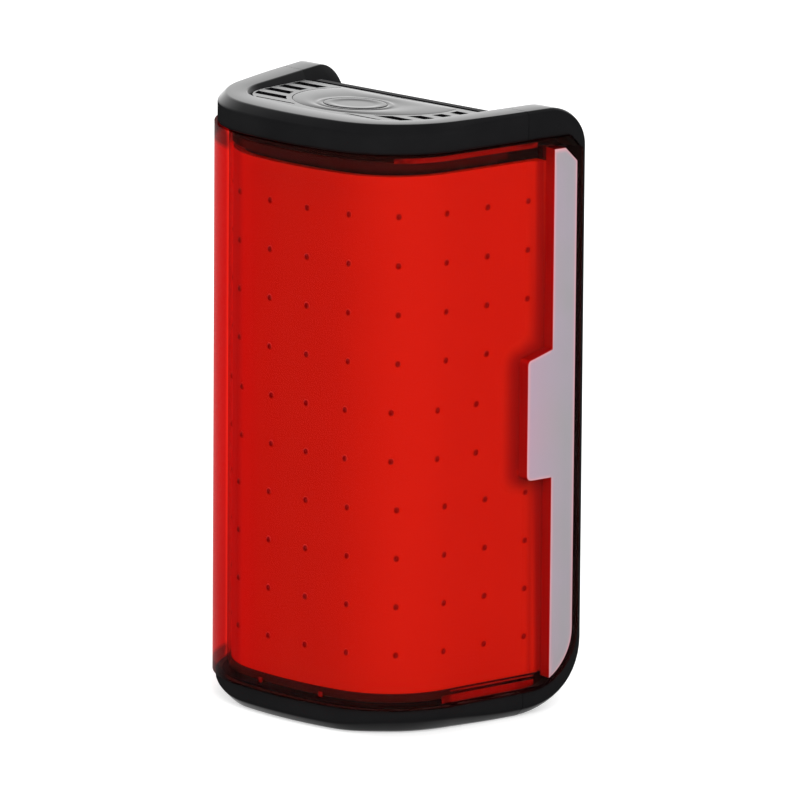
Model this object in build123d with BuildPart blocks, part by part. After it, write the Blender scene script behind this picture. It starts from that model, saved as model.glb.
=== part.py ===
from build123d import *
from math import atan2, cos, degrees, radians, sin, sqrt, tan
import os

# Bicycle tail light. Millimetres, +Z up, the lens faces -Y and the mount side faces +Y.
# The origin is the middle of the light's plan on the face it stands on.

# Overall size
WIDTH = 40.0
DEPTH = 27.4
HEIGHT = 67.7

# Plan curve of the outer lens: a shallow front arc, two corner arcs and two straight sides
FRONT_RADIUS = 45.0
CORNER_RADIUS = 11.8
SIDE_ANGLE = 79.5

# Shells
LENS_WALL = 1.6
CAP_INSET = 0.34
TOP_CAP_HEIGHT = 3.15
BOTTOM_CAP_HEIGHT = 2.85
RIM_CHAMFER = 0.9
FOOT_CHAMFER = 1.1
RIM_INSET = 4.3
CAP_WALL_MARGIN = 0.8
CAP_PLATE = 1.4
CAP_REAR_WALL = 1.2
SKIRT_THICKNESS = 0.75
GROOVE_INSET = 0.45
GROOVE_WIDTH = 0.7
GROOVE_DEPTH = 0.5
GASKET_FIT = 0.05
SEAM_SETBACK = 7.8
SEAM_GAP = 0.06
LENS_GAP = 0.05

# Rear shell: side view corners, lens seat and web
REAR_TOP_RADIUS = 4.6
REAR_BOTTOM_RADIUS = 8.0
LENS_SETBACK = 0.65
SEAT_TOP_CHAMFER = 1.6
SEAT_BOTTOM_RADIUS = 6.5
WEB_THICKNESS = 1.1
WALL_GAP = 0.15

# Side windows
WINDOW_BORDER = 0.35
WINDOW_WIDTH = 3.05
WINDOW_END_GAP = 1.15
TAB_WIDTH = 3.3
TAB_HEIGHT = 13.1
TAB_CORNER = 0.6
TAB_SLOPE = 1.0
TAB_DROP = 0.3
WINDOW_FIT = 0.05

# Light panel, its flexible board and its dots
PANEL_GAP = 0.5
PANEL_THICKNESS = 0.9
PANEL_TOP_GAP = 2.75
PANEL_BOTTOM_GAP = 1.45
FLEX_THICKNESS = 0.2
FLEX_GAP = 0.05
FLEX_MARGIN = 0.3
DOT_COLUMNS = 11
DOT_ROWS = 10
DOT_COLUMN_MARGIN = 3.8
DOT_ROW_MARGIN = 4.35
DOT_SQUEEZE = 0.94
DOT_SIZE = 0.62
DOT_HEIGHT = 0.24
DOT_SEAT_GAP = 0.02

# Chassis that carries the panel, the boards and the battery
CHASSIS_WALL = 1.35
CHASSIS_FLANGE = 0.9
CHASSIS_FLANGE_GAP = 0.4
CHASSIS_TOP_GAP = 1.15
CHASSIS_BOTTOM_GAP = 0.5
SHELF_DROP = 7.1
SHELF_THICKNESS = 1.0
SHELF_REAR_GAP = 2.8
KEY_WIDTH = 2.0
KEY_HEIGHT = 2.4
KEY_DISTANCE = 17.5
BOSS_RADIUS = 2.2
BOSS_SIDE_GAP = 3.3
BOSS_END_DISTANCE = 9.0
BOSS_LENGTH = 6.0
BOSS_FLOOR = 0.6

# Deck, button and switch
DECK_FRONT_DROP = 0.15
DECK_REAR_DROP = 1.0
DECK_PLATE = 1.5
BUTTON_SETBACK = 11.8
BUTTON_RADIUS = 3.4
BUTTON_DISH_RADIUS = 2.5
BUTTON_FIT = 0.1
BUTTON_FLANGE = 0.9
BUTTON_FLANGE_THICKNESS = 0.5
BUTTON_STEM_RADIUS = 1.3
BUTTON_TRAVEL = 0.4
BUTTON_PROUD = 0.12
BUTTON_DISH = 0.15
PAD_RADIUS = 9.2
PAD_SETBACK = 15.2
PAD_THICKNESS = 0.6
PAD_FIT = 0.05
PAD_RING = 0.8
PAD_CROWN = 0.2
DECK_EDGE = 0.5
SLOT_COUNT = 5
SLOT_PITCH = 2.85
SLOT_WIDTH = 1.5
SLOT_DEPTH = 0.9
SLOT_REAR_GAP = 2.6
SLOT_PAD_GAP = 0.6
SLOT_RIM_GAP = 0.1
SWITCH_SIZE = 4.5
SWITCH_HEIGHT = 1.6
SWITCH_PLUNGER_RADIUS = 1.0
SWITCH_PLUNGER_HEIGHT = 0.6
SWITCH_FIT = 0.1
SWITCH_CORNER = 0.3
BUTTON_BOARD_WIDTH = 12.0
BUTTON_BOARD_LENGTH = 8.8
BUTTON_BOARD_THICKNESS = 0.8

# Back plate, its screws and the mount inserts
PLATE_GAP = 0.3
PLATE_THICKNESS = 0.85
PLATE_BOTTOM = 1.0
PLATE_FIT = 0.15
PLATE_CORNER = 1.0
GASKET_WIDTH = 1.4
GASKET_SCREW_GAP = 0.1
SCREW_RADIUS = 1.0
SCREW_HEAD_RADIUS = 1.8
SCREW_HEAD_HEIGHT = 1.1
SCREW_FIT = 0.02
SCREW_CLEARANCE = 0.2
SCREW_SOCKET = 0.65
MOUNT_SPACING = 24.0
MOUNT_HOLE_RADIUS = 1.25
INSERT_RADIUS = 2.0
INSERT_LENGTH = 3.4
INSERT_FIT = 0.01
INSERT_RIM = 0.8
INSERT_BOSS_WALL = 0.9
MOUNT_CLEARANCE = 0.4

# Electronics
PIN_COUNT = 4
PIN_PITCH = 1.27
PIN_RADIUS = 0.3
PIN_OVERLAP = 2.5
BOARD_SCREW_RADIUS = 0.7
BOARD_SCREW_HEAD = 0.7
BOARD_SCREW_X = 6.0
BOARD_SCREW_LOW = 11.0
BOARD_SCREW_HIGH = 6.0
BOARD_PAD_RADIUS = 1.6
BOARD_THICKNESS = 1.0
BOARD_WIDTH = 16.0
BOARD_CORNER = 1.0
BOARD_END_GAP = 0.6
BOARD_WEB_GAP = 0.7
BOARD_HOLE_FIT = 0.25
CHIP_SIZE = 5.0
CHIP_THICKNESS = 0.8
INDUCTOR_SIZE = 3.6
INDUCTOR_THICKNESS = 1.8
INDUCTOR_X = 5.4
CAPACITOR_COUNT = 4
CAPACITOR_PITCH = 2.2
CAPACITOR_WIDTH = 1.0
CAPACITOR_HEIGHT = 1.6
CAPACITOR_THICKNESS = 0.8
CAPACITOR_LEVEL = 8.4
CELL_WIDTH = 20.0
CELL_BOTTOM = 13.0
CELL_TOP_GAP = 4.6
CELL_GAP = 0.35
CELL_CORNER = 1.5
SPREADER_WIDTH = 14.0
SPREADER_THICKNESS = 0.8
SPREADER_OVERHANG = 2.0
SPREADER_GAP = 0.75
SPREADER_CORNER = 1.5
FOAM_THICKNESS = 2.4
FOAM_MARGIN = 3.0
LEAD_RADIUS = 0.45
LEAD_X = 3.0
LEAD_PITCH = 3.6
LEAD_RISE = 1.8
LEAD_BEND = 1.0
USB_WIDTH = 8.94
USB_THICKNESS = 3.16
USB_WALL = 0.3
USB_LENGTH = 7.3
USB_MOUTH = 1.95
USB_CORNER = 1.2
TONGUE_WIDTH = 6.7
TONGUE_THICKNESS = 0.7
TONGUE_BLOCK = 2.2
TONGUE_SETBACK = 0.7

# Port cover in the bottom cap
COVER_LENGTH = 13.6
COVER_WIDTH = 6.8
COVER_THICKNESS = 0.8
COVER_RECESS = 0.9
COVER_FIT = 0.15
COVER_CORNER = 1.0
PLUG_LENGTH = 8.6
PLUG_WIDTH = 2.9
PLUG_HEIGHT = 0.75
PLUG_CORNER = 1.2
PORT_FIT = 0.35
ANCHOR_LENGTH = 2.4
ANCHOR_PEG_RADIUS = 0.9
HINGE_CLEARANCE = 0.06

# Side lights in the rear shell's rails
GUIDE_THICKNESS = 0.6
SIDE_BOARD_THICKNESS = 0.4
SIDE_LED = 0.45
SIDE_LED_COUNT = 3
SIDE_LED_PITCH = 18.0
SIDE_LED_WIDTH = 1.6
SIDE_POCKET_MARGIN = 0.15

os.makedirs("parts", exist_ok=True)


# Places worked out from the sizes above
front_y = -DEPTH / 2
rear_y = DEPTH / 2
seam_y = rear_y - SEAM_SETBACK
lens_bottom = BOTTOM_CAP_HEIGHT + LENS_GAP
lens_top = HEIGHT - TOP_CAP_HEIGHT - LENS_GAP
lens_rear = rear_y - LENS_SETBACK
cap_joint = HEIGHT - TOP_CAP_HEIGHT
web_rear = seam_y - LENS_GAP
web_front = web_rear - WEB_THICKNESS
board_rear = web_front - BOARD_WEB_GAP
board_front = board_rear - BOARD_THICKNESS
skirt_inset = LENS_WALL + WALL_GAP
cap_wall_inset = skirt_inset + SKIRT_THICKNESS + CAP_WALL_MARGIN
panel_inset = LENS_WALL + PANEL_GAP
flex_inset = panel_inset + PANEL_THICKNESS + FLEX_GAP
pocket_inset = flex_inset + FLEX_THICKNESS + WALL_GAP
chassis_inner = pocket_inset + CHASSIS_WALL
side_board_inset = skirt_inset + GUIDE_THICKNESS + SIDE_LED
rail_inset = max(pocket_inset, side_board_inset + SIDE_BOARD_THICKNESS + WALL_GAP)
tilt = degrees(atan2(DECK_REAR_DROP - DECK_FRONT_DROP, seam_y - front_y - RIM_INSET))


# The side's outward normal, and the centres of the plan's arcs
side = radians(SIDE_ANGLE)
front_centre = (0.0, front_y + FRONT_RADIUS)
start_x = WIDTH / 2 - CORNER_RADIUS * sin(side)
start_y = rear_y + CORNER_RADIUS * cos(side) - front_centre[1]
along = start_x * cos(side) + start_y * sin(side)
reach = FRONT_RADIUS - CORNER_RADIUS
slide = along + sqrt(along**2 - start_x**2 - start_y**2 + reach**2)
corner_centre = (start_x - slide * cos(side), start_y + front_centre[1] - slide * sin(side))
front_angle = degrees(atan2(corner_centre[0], front_centre[1] - corner_centre[1]))


def side_x(inset, y):
    """Half width of the plan at y on its straight side, moved inwards by inset."""
    return WIDTH / 2 - inset / sin(side) + (y - rear_y) / tan(side)


def plan(inset, rear):
    """Face inside the plan curve moved inwards by inset, cut straight across at y = rear."""
    end_x = side_x(inset, rear)
    mirrored = (-corner_centre[0], corner_centre[1])
    sweep_angle = SIDE_ANGLE - front_angle
    corner = CORNER_RADIUS - inset
    with BuildSketch() as face:
        with BuildLine():
            CenterArc(front_centre, FRONT_RADIUS - inset, -90 - front_angle, 2 * front_angle)
            right = CenterArc(corner_centre, corner, front_angle - 90, sweep_angle)
            left = CenterArc(mirrored, corner, -90 - SIDE_ANGLE, sweep_angle)
            Polyline(right @ 1, (end_x, rear), (-end_x, rear), left @ 0)
        make_face()
    return face.sketch


def plan_place(inset, distance):
    """Point and outward direction at a distance along the plan from its front middle."""
    run = abs(distance)
    sign = 1 if distance >= 0 else -1
    front_r = FRONT_RADIUS - inset
    corner_r = CORNER_RADIUS - inset
    front_run = front_r * radians(front_angle)
    corner_run = corner_r * radians(SIDE_ANGLE - front_angle)
    if run <= front_run:
        turn = run / front_r
        x = front_r * sin(turn)
        y = front_centre[1] - front_r * cos(turn)
    elif run <= front_run + corner_run:
        turn = radians(front_angle) + (run - front_run) / corner_r
        x = corner_centre[0] + corner_r * sin(turn)
        y = corner_centre[1] - corner_r * cos(turn)
    else:
        turn = side
        past = run - front_run - corner_run
        x = corner_centre[0] + corner_r * sin(turn) + past * cos(turn)
        y = corner_centre[1] - corner_r * cos(turn) + past * sin(turn)
    return (sign * x, y), (sign * sin(turn), -cos(turn))


def plan_run(inset, rear):
    """Length of the plan curve from its front middle to y = rear."""
    corner = CORNER_RADIUS - inset
    straight = (rear - corner_centre[1] + corner * cos(side)) / sin(side)
    turned = radians(SIDE_ANGLE - front_angle)
    return (FRONT_RADIUS - inset) * radians(front_angle) + corner * turned + straight


def side_view(back, bottom, top, bottom_radius, top_radius, chamfer_top=False):
    """Side view face in Y and Z, with its two rear corners rounded or cut off."""
    start = front_y - DEPTH
    with BuildSketch() as face:
        with BuildLine():
            Polyline((start, top), (start, bottom), (back - bottom_radius, bottom))
            CenterArc((back - bottom_radius, bottom + bottom_radius), bottom_radius, -90, 90)
            Line((back, bottom + bottom_radius), (back, top - top_radius))
            if chamfer_top:
                Line((back, top - top_radius), (back - top_radius, top))
            else:
                CenterArc((back - top_radius, top - top_radius), top_radius, 0, 90)
            Line((back - top_radius, top), (start, top))
        make_face()
    return face.sketch


def save(builder, name):
    """Labels a finished piece and writes it."""
    builder.part.label = name
    export_step(builder.part, f"parts/{name}.step")


# Seats shared by the lens, the windows and the rear shell
def lens_view(gap):
    """Side view of the lens, grown by gap at its rear, top and bottom."""
    return side_view(
        lens_rear + gap,
        lens_bottom - gap,
        lens_top + gap,
        SEAT_BOTTOM_RADIUS,
        SEAT_TOP_CHAMFER,
        chamfer_top=True,
    )


window_rear = lens_rear - WINDOW_BORDER
window_front = window_rear - WINDOW_WIDTH
window_top = lens_top - WINDOW_END_GAP
tab_front = window_front - TAB_WIDTH
tab_middle = (lens_top + lens_bottom) / 2 - TAB_DROP


def window_view(grow):
    """Side view of a side window: a strip with a forward tab, grown all round by grow."""
    back = window_rear + grow
    front = window_front - grow
    top = window_top + grow
    tab = tab_front - grow
    tab_top = tab_middle + TAB_HEIGHT / 2 + grow
    tab_bottom = tab_middle - TAB_HEIGHT / 2 - grow
    cut = SEAT_TOP_CHAMFER
    arc_radius = SEAT_BOTTOM_RADIUS - WINDOW_BORDER + grow
    arc_y = lens_rear - SEAT_BOTTOM_RADIUS
    arc_z = lens_bottom + SEAT_BOTTOM_RADIUS
    tip = arc_z - sqrt(arc_radius**2 - (front - arc_y) ** 2)
    with BuildSketch() as face:
        with BuildLine():
            Polyline((front, tip), (front, tab_bottom), (tab, tab_bottom), (tab, tab_top))
            Polyline((tab, tab_top), (front, tab_top + TAB_SLOPE), (front, top))
            Polyline((front, top), (back - cut, top), (back, top - cut), (back, arc_z))
            RadiusArc((back, arc_z), (front, tip), arc_radius)
        make_face()
        fillet(face.vertices().sort_by(Axis.X)[0:2], TAB_CORNER)
    return face.sketch


with BuildPart() as window_cut:
    with BuildSketch(Plane.YZ):
        add(window_view(WINDOW_FIT))
    extrude(amount=WIDTH, both=True)

# Outer lens: one clear red wall round the front and both sides
with BuildPart() as outer_lens:
    with BuildSketch(Plane.XY.offset(lens_bottom)):
        add(plan(0, lens_rear))
        add(plan(LENS_WALL, lens_rear), mode=Mode.SUBTRACT)
    extrude(amount=lens_top - lens_bottom)
    with BuildSketch(Plane.YZ):
        add(lens_view(0))
    extrude(amount=WIDTH, both=True, mode=Mode.INTERSECT)
    add(window_cut.part, mode=Mode.SUBTRACT)
save(outer_lens, "outer_lens")

# Side windows: two milky strips let into the lens wall
for sign, name in ((1, "side_window_right"), (-1, "side_window_left")):
    with BuildPart() as side_window:
        with BuildSketch(Plane.XY.offset(lens_bottom)):
            add(plan(0, lens_rear))
            add(plan(LENS_WALL, lens_rear), mode=Mode.SUBTRACT)
        extrude(amount=lens_top - lens_bottom)
        with BuildSketch(Plane.YZ):
            add(window_view(0))
        extrude(amount=sign * WIDTH, mode=Mode.INTERSECT)
    save(side_window, name)


# Gaskets between each cap and the lens edge, and the groove that holds each
def cap_groove(level, rear):
    """Solid of a cap's gasket groove, upwards from level."""
    with BuildPart() as groove:
        with BuildSketch(Plane.XY.offset(level)):
            add(plan(GROOVE_INSET, rear))
            add(plan(GROOVE_INSET + GROOVE_WIDTH, rear), mode=Mode.SUBTRACT)
        extrude(amount=GROOVE_DEPTH)
    return groove.part


def cap_gasket(level, height):
    """Gasket strip that lies in a cap's groove, upwards from level."""
    with BuildPart() as gasket:
        with BuildSketch(Plane.XY.offset(level)):
            add(plan(GROOVE_INSET + GASKET_FIT, seam_y))
            add(plan(GROOVE_INSET + GROOVE_WIDTH - GASKET_FIT, seam_y), mode=Mode.SUBTRACT)
        extrude(amount=height)
    return gasket


def skirt(level, height):
    """Ring on a cap that locates it inside the lens, upwards from level."""
    with BuildPart() as ring:
        with BuildSketch(Plane.XY.offset(level)):
            add(plan(skirt_inset, web_front - WALL_GAP))
            add(plan(skirt_inset + SKIRT_THICKNESS, web_front), mode=Mode.SUBTRACT)
        extrude(amount=height)
    return ring.part


gasket_height = GROOVE_DEPTH + LENS_GAP - GASKET_FIT
save(cap_gasket(lens_top, gasket_height), "lens_gasket_top")
save(cap_gasket(lens_bottom - gasket_height, gasket_height), "lens_gasket_bottom")


# Deck: a shallow slope between the arms of the top cap, lowest at the rear
deck_front_y = front_y + RIM_INSET
deck_slope = (DECK_REAR_DROP - DECK_FRONT_DROP) / (seam_y - deck_front_y)
button_y = front_y + BUTTON_SETBACK


def deck_z(y):
    """Height of the deck's surface at y."""
    return HEIGHT - DECK_FRONT_DROP - deck_slope * (y - deck_front_y)


pad_y = front_y + PAD_SETBACK
deck_normal = (0, sin(radians(tilt)), cos(radians(tilt)))
deck_plane = Plane(origin=(0, button_y, deck_z(button_y)), x_dir=(1, 0, 0), z_dir=deck_normal)


def pad_outline(fit):
    """Sketch of the pad on the deck: a disc cut straight at its rear, drawn in by fit."""
    middle = (pad_y - button_y) / cos(radians(tilt))
    edge = (seam_y - DECK_EDGE - button_y) / cos(radians(tilt)) - fit
    with BuildSketch() as face:
        with Locations((0, middle)):
            Circle(PAD_RADIUS - fit)
        with Locations((0, edge)):
            Rectangle(4 * PAD_RADIUS, PAD_RADIUS, align=(Align.CENTER, Align.MIN), mode=Mode.SUBTRACT)
    return face.sketch


def deck_wedge(low, high):
    """Solid between two surfaces that run parallel to the deck, low and high above it."""
    near = front_y - 1
    far = rear_y
    with BuildPart() as wedge:
        with BuildSketch(Plane.YZ):
            with BuildLine():
                Polyline(
                    (near, deck_z(near) + low),
                    (far, deck_z(far) + low),
                    (far, deck_z(far) + high),
                    (near, deck_z(near) + high),
                    close=True,
                )
            make_face()
        extrude(amount=WIDTH, both=True)
    return wedge.part


with BuildPart() as deck_pocket:
    with BuildSketch(Plane.XY.offset(cap_joint)):
        add(plan(RIM_INSET, rear_y))
    extrude(amount=2 * TOP_CAP_HEIGHT)
    add(deck_wedge(0, TOP_CAP_HEIGHT), mode=Mode.INTERSECT)

with BuildPart() as cap_hollow:
    with BuildSketch(Plane.XY.offset(cap_joint)):
        add(plan(cap_wall_inset, seam_y - CAP_REAR_WALL))
    extrude(amount=TOP_CAP_HEIGHT)
    add(deck_wedge(-DECK_PLATE - TOP_CAP_HEIGHT, -DECK_PLATE), mode=Mode.INTERSECT)

pad_front = PAD_SETBACK - PAD_RADIUS
slot_rows = [seam_y - SLOT_REAR_GAP - SLOT_PITCH * row for row in range(SLOT_COUNT)]
with BuildPart() as slot_cut:
    with BuildSketch(Plane.XY.offset(cap_joint)):
        with Locations([(0, slot_y) for slot_y in slot_rows]):
            Rectangle(WIDTH, SLOT_WIDTH)
        with Locations((0, pad_y)):
            Circle(PAD_RADIUS + SLOT_PAD_GAP, mode=Mode.SUBTRACT)
        with Locations((0, front_y)):
            Rectangle(WIDTH, 2 * pad_front, mode=Mode.SUBTRACT)
    extrude(amount=TOP_CAP_HEIGHT)
    with BuildSketch(Plane.XY.offset(cap_joint)):
        add(plan(RIM_INSET + SLOT_RIM_GAP, seam_y))
    extrude(amount=TOP_CAP_HEIGHT, mode=Mode.INTERSECT)
    add(deck_wedge(-SLOT_DEPTH, TOP_CAP_HEIGHT), mode=Mode.INTERSECT)

# Top cap: the C-shaped rim with its chamfer, the sloping deck, the button's hole and the slots
with BuildPart() as top_cap:
    with BuildSketch(Plane.XY.offset(cap_joint)):
        add(plan(CAP_INSET, seam_y))
    extrude(amount=TOP_CAP_HEIGHT)
    rim = top_cap.faces().sort_by(Axis.Z)[-1].edges().sort_by(Axis.Y)[:-1]
    chamfer(rim, RIM_CHAMFER)
    add(deck_pocket.part, mode=Mode.SUBTRACT)
    add(cap_hollow.part, mode=Mode.SUBTRACT)
    add(slot_cut.part, mode=Mode.SUBTRACT)
    add(cap_groove(cap_joint, seam_y), mode=Mode.SUBTRACT)
    add(skirt(lens_top - CHASSIS_TOP_GAP + WALL_GAP, CHASSIS_TOP_GAP - WALL_GAP + LENS_GAP))
    with BuildSketch(deck_plane):
        add(pad_outline(0))
    extrude(amount=-PAD_THICKNESS, mode=Mode.SUBTRACT)
    with BuildSketch(deck_plane):
        Circle(BUTTON_RADIUS + BUTTON_FIT)
    extrude(amount=-2 * DECK_PLATE, mode=Mode.SUBTRACT)
save(top_cap, "top_cap")


# Charging port: the socket's middle, and the cover's hinge beside it
port_y = board_front - USB_THICKNESS / 2
hinge_x = COVER_LENGTH / 2
hinge_z = COVER_RECESS - HINGE_CLEARANCE - COVER_THICKNESS / 2
anchor_start = hinge_x + COVER_THICKNESS / 2 + HINGE_CLEARANCE
anchor_end = anchor_start + ANCHOR_LENGTH
anchor_x = (anchor_start + anchor_end) / 2
recess_end = anchor_end + COVER_FIT
recess_start = -COVER_LENGTH / 2 - COVER_FIT
plate_front = seam_y + PLATE_GAP
gasket_half = side_x(RIM_INSET, plate_front) - PLATE_FIT
screw_limit = gasket_half - GASKET_WIDTH - GASKET_SCREW_GAP - SCREW_RADIUS
boss_x = min(side_x(pocket_inset, web_front) - BOSS_SIDE_GAP, screw_limit)
screw_places = [
    (sign * boss_x, level)
    for sign in (-1, 1)
    for level in (BOSS_END_DISTANCE, HEIGHT - BOSS_END_DISTANCE)
]
mount_middle = HEIGHT / 2
insert_places = [(0, mount_middle - MOUNT_SPACING / 2), (0, mount_middle + MOUNT_SPACING / 2)]


def across(y):
    """Plane facing +Y at y, whose sketch x and y are the light's -X and +Z."""
    return Plane(origin=(0, y, 0), x_dir=(-1, 0, 0), z_dir=(0, 1, 0))


# Bottom cap: a shallow tray with a chamfered foot, the port and the cover's recess
with BuildPart() as bottom_cap:
    with BuildSketch(Plane.XY):
        add(plan(CAP_INSET, seam_y))
    extrude(amount=BOTTOM_CAP_HEIGHT)
    foot = bottom_cap.faces().sort_by(Axis.Z)[0].edges().sort_by(Axis.Y)[:-1]
    chamfer(foot, FOOT_CHAMFER)
    with BuildSketch(Plane.XY.offset(CAP_PLATE)):
        add(plan(cap_wall_inset, seam_y - CAP_REAR_WALL))
    extrude(amount=BOTTOM_CAP_HEIGHT, mode=Mode.SUBTRACT)
    add(cap_groove(BOTTOM_CAP_HEIGHT - GROOVE_DEPTH, seam_y), mode=Mode.SUBTRACT)
    add(skirt(BOTTOM_CAP_HEIGHT, CHASSIS_BOTTOM_GAP - WALL_GAP + LENS_GAP))
    with BuildSketch(Plane.XY):
        with Locations(((recess_start + recess_end) / 2, port_y)):
            RectangleRounded(recess_end - recess_start, COVER_WIDTH + 2 * COVER_FIT, COVER_CORNER)
    extrude(amount=COVER_RECESS, mode=Mode.SUBTRACT)
    with BuildSketch(Plane.XY):
        with Locations((0, port_y)):
            RectangleRounded(PLUG_LENGTH + 2 * PORT_FIT, PLUG_WIDTH + 2 * PORT_FIT, PLUG_CORNER)
        with Locations((anchor_x, port_y)):
            Circle(ANCHOR_PEG_RADIUS + PAD_FIT)
    extrude(amount=2 * CAP_PLATE, mode=Mode.SUBTRACT)
save(bottom_cap, "bottom_cap")

# Port cover: a soft flap with a plug, rounded at its hinged end
with BuildPart() as port_cover:
    with BuildSketch(Plane.XY.offset(hinge_z - COVER_THICKNESS / 2)):
        with Locations((0, port_y)):
            Rectangle(COVER_LENGTH, COVER_WIDTH)
    extrude(amount=COVER_THICKNESS)
    free_corners = port_cover.edges().filter_by(Axis.Z).sort_by(Axis.X)[0:2]
    fillet(free_corners, COVER_CORNER)
    with BuildSketch(Plane.XZ.offset(-port_y)):
        with Locations((hinge_x, hinge_z)):
            Circle(COVER_THICKNESS / 2)
    extrude(amount=COVER_WIDTH / 2, both=True)
    with BuildSketch(Plane.XY.offset(hinge_z + COVER_THICKNESS / 2)):
        with Locations((0, port_y)):
            RectangleRounded(PLUG_LENGTH, PLUG_WIDTH, PLUG_CORNER)
    extrude(amount=PLUG_HEIGHT)
save(port_cover, "port_cover")

# Anchor of the cover: a tab with a peg through the cap and a head inside it
with BuildPart() as port_anchor:
    with BuildSketch(Plane.XY.offset(hinge_z - COVER_THICKNESS / 2)):
        with Locations((anchor_x, port_y)):
            Rectangle(ANCHOR_LENGTH, COVER_WIDTH)
    extrude(amount=COVER_RECESS - hinge_z + COVER_THICKNESS / 2)
    fillet(port_anchor.edges().filter_by(Axis.Z).sort_by(Axis.X)[-2:], COVER_CORNER)
    with BuildSketch(Plane.XY.offset(COVER_RECESS)):
        with Locations((anchor_x, port_y)):
            Circle(ANCHOR_PEG_RADIUS)
    extrude(amount=CAP_PLATE - COVER_RECESS)
    with BuildSketch(Plane.XY.offset(CAP_PLATE)):
        with Locations((anchor_x, port_y)):
            Circle(ANCHOR_PEG_RADIUS + PORT_FIT)
    extrude(amount=COVER_THICKNESS)
save(port_anchor, "port_cover_anchor")

# Room for the boards and the battery between the shelf and the bottom cap
shelf_top = HEIGHT - SHELF_DROP
shelf_bottom = shelf_top - SHELF_THICKNESS
board_bottom = lens_bottom + BOARD_END_GAP
board_top = shelf_bottom - BOARD_END_GAP
board_screw_places = [
    (sign * BOARD_SCREW_X, level)
    for sign in (-1, 1)
    for level in (board_bottom + BOARD_SCREW_LOW, board_top - BOARD_SCREW_HIGH)
]

# Rear shell: two rails that end the arms and carry the lens, joined by a web
panel_rear = window_front - WALL_GAP
with BuildPart() as lens_seat:
    with BuildSketch(Plane.XY):
        add(plan(-LENS_WALL, rear_y + 1))
        add(plan(LENS_WALL + WALL_GAP, rear_y + 1), mode=Mode.SUBTRACT)
    extrude(amount=HEIGHT)
    with BuildSketch(Plane.YZ):
        add(lens_view(LENS_GAP))
    extrude(amount=WIDTH, both=True, mode=Mode.INTERSECT)

with BuildPart() as rail_pocket:
    with BuildSketch(Plane.XY.offset(lens_bottom)):
        add(plan(LENS_WALL - WALL_GAP, window_rear - WALL_GAP))
        add(plan(rail_inset, rear_y), mode=Mode.SUBTRACT)
    extrude(amount=lens_top - lens_bottom)
    with BuildSketch(Plane.YZ):
        add(lens_view(-WINDOW_BORDER))
    extrude(amount=WIDTH, both=True, mode=Mode.INTERSECT)

with BuildPart() as rear_shell:
    with BuildSketch(Plane.XY):
        add(plan(CAP_INSET, rear_y))
        add(plan(RIM_INSET, rear_y + 1), mode=Mode.SUBTRACT)
    extrude(amount=HEIGHT)
    ends = rear_shell.edges().filter_by(GeomType.LINE).filter_by(Plane.XY)
    outer = [e for e in ends if abs(abs(e.center().X) - side_x(CAP_INSET, e.center().Y)) < 0.01]
    chamfer([e for e in outer if e.center().Z > HEIGHT / 2], RIM_CHAMFER)
    ends = rear_shell.edges().filter_by(GeomType.LINE).filter_by(Plane.XY)
    outer = [e for e in ends if abs(abs(e.center().X) - side_x(CAP_INSET, e.center().Y)) < 0.01]
    chamfer([e for e in outer if e.center().Z < FOOT_CHAMFER], FOOT_CHAMFER)
    with BuildSketch(Plane.YZ):
        add(side_view(rear_y, 0, HEIGHT, REAR_BOTTOM_RADIUS, REAR_TOP_RADIUS))
    extrude(amount=WIDTH, both=True, mode=Mode.INTERSECT)
    with BuildSketch(Plane.XY):
        with Locations((0, seam_y + SEAM_GAP)):
            Rectangle(2 * WIDTH, DEPTH, align=(Align.CENTER, Align.MAX))
    extrude(amount=HEIGHT, mode=Mode.SUBTRACT)
    add(lens_seat.part, mode=Mode.SUBTRACT)
    add(rail_pocket.part, mode=Mode.SUBTRACT)
    web_bottom = BOTTOM_CAP_HEIGHT + WALL_GAP
    web_height = cap_joint - BOTTOM_CAP_HEIGHT - 2 * WALL_GAP
    with BuildSketch(Plane.XY.offset(web_bottom)):
        add(plan(pocket_inset, web_rear))
        with Locations((0, web_front)):
            Rectangle(2 * WIDTH, DEPTH, align=(Align.CENTER, Align.MAX), mode=Mode.SUBTRACT)
    extrude(amount=web_height)
    with BuildSketch(Plane.XY.offset(web_bottom)):
        add(plan(pocket_inset, seam_y + 1))
        add(plan(RIM_INSET, seam_y + 2), mode=Mode.SUBTRACT)
        with Locations((0, web_front)):
            Rectangle(2 * WIDTH, DEPTH, align=(Align.CENTER, Align.MAX), mode=Mode.SUBTRACT)
    extrude(amount=web_height)
    with BuildSketch(across(web_front)):
        with Locations(insert_places):
            Circle(INSERT_RADIUS + INSERT_BOSS_WALL)
    extrude(amount=web_rear - web_front - INSERT_LENGTH - BOARD_HOLE_FIT)
    with BuildSketch(across(web_front)):
        with Locations(board_screw_places):
            Circle(BOARD_PAD_RADIUS)
    extrude(amount=-BOARD_WEB_GAP)
    with BuildSketch(across(board_rear)):
        with Locations(board_screw_places):
            Circle(BOARD_SCREW_RADIUS + SCREW_FIT)
    extrude(amount=BOARD_WEB_GAP + WEB_THICKNESS / 2 + SCREW_FIT, mode=Mode.SUBTRACT)
    with BuildSketch(across(web_rear)):
        with Locations(insert_places):
            Circle(INSERT_RADIUS + INSERT_FIT)
    extrude(amount=-INSERT_LENGTH, mode=Mode.SUBTRACT)
    with BuildSketch(across(web_rear)):
        with Locations(screw_places):
            Circle(SCREW_RADIUS + SCREW_CLEARANCE)
    extrude(amount=-WEB_THICKNESS, mode=Mode.SUBTRACT)
save(rear_shell, "rear_shell")

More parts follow.
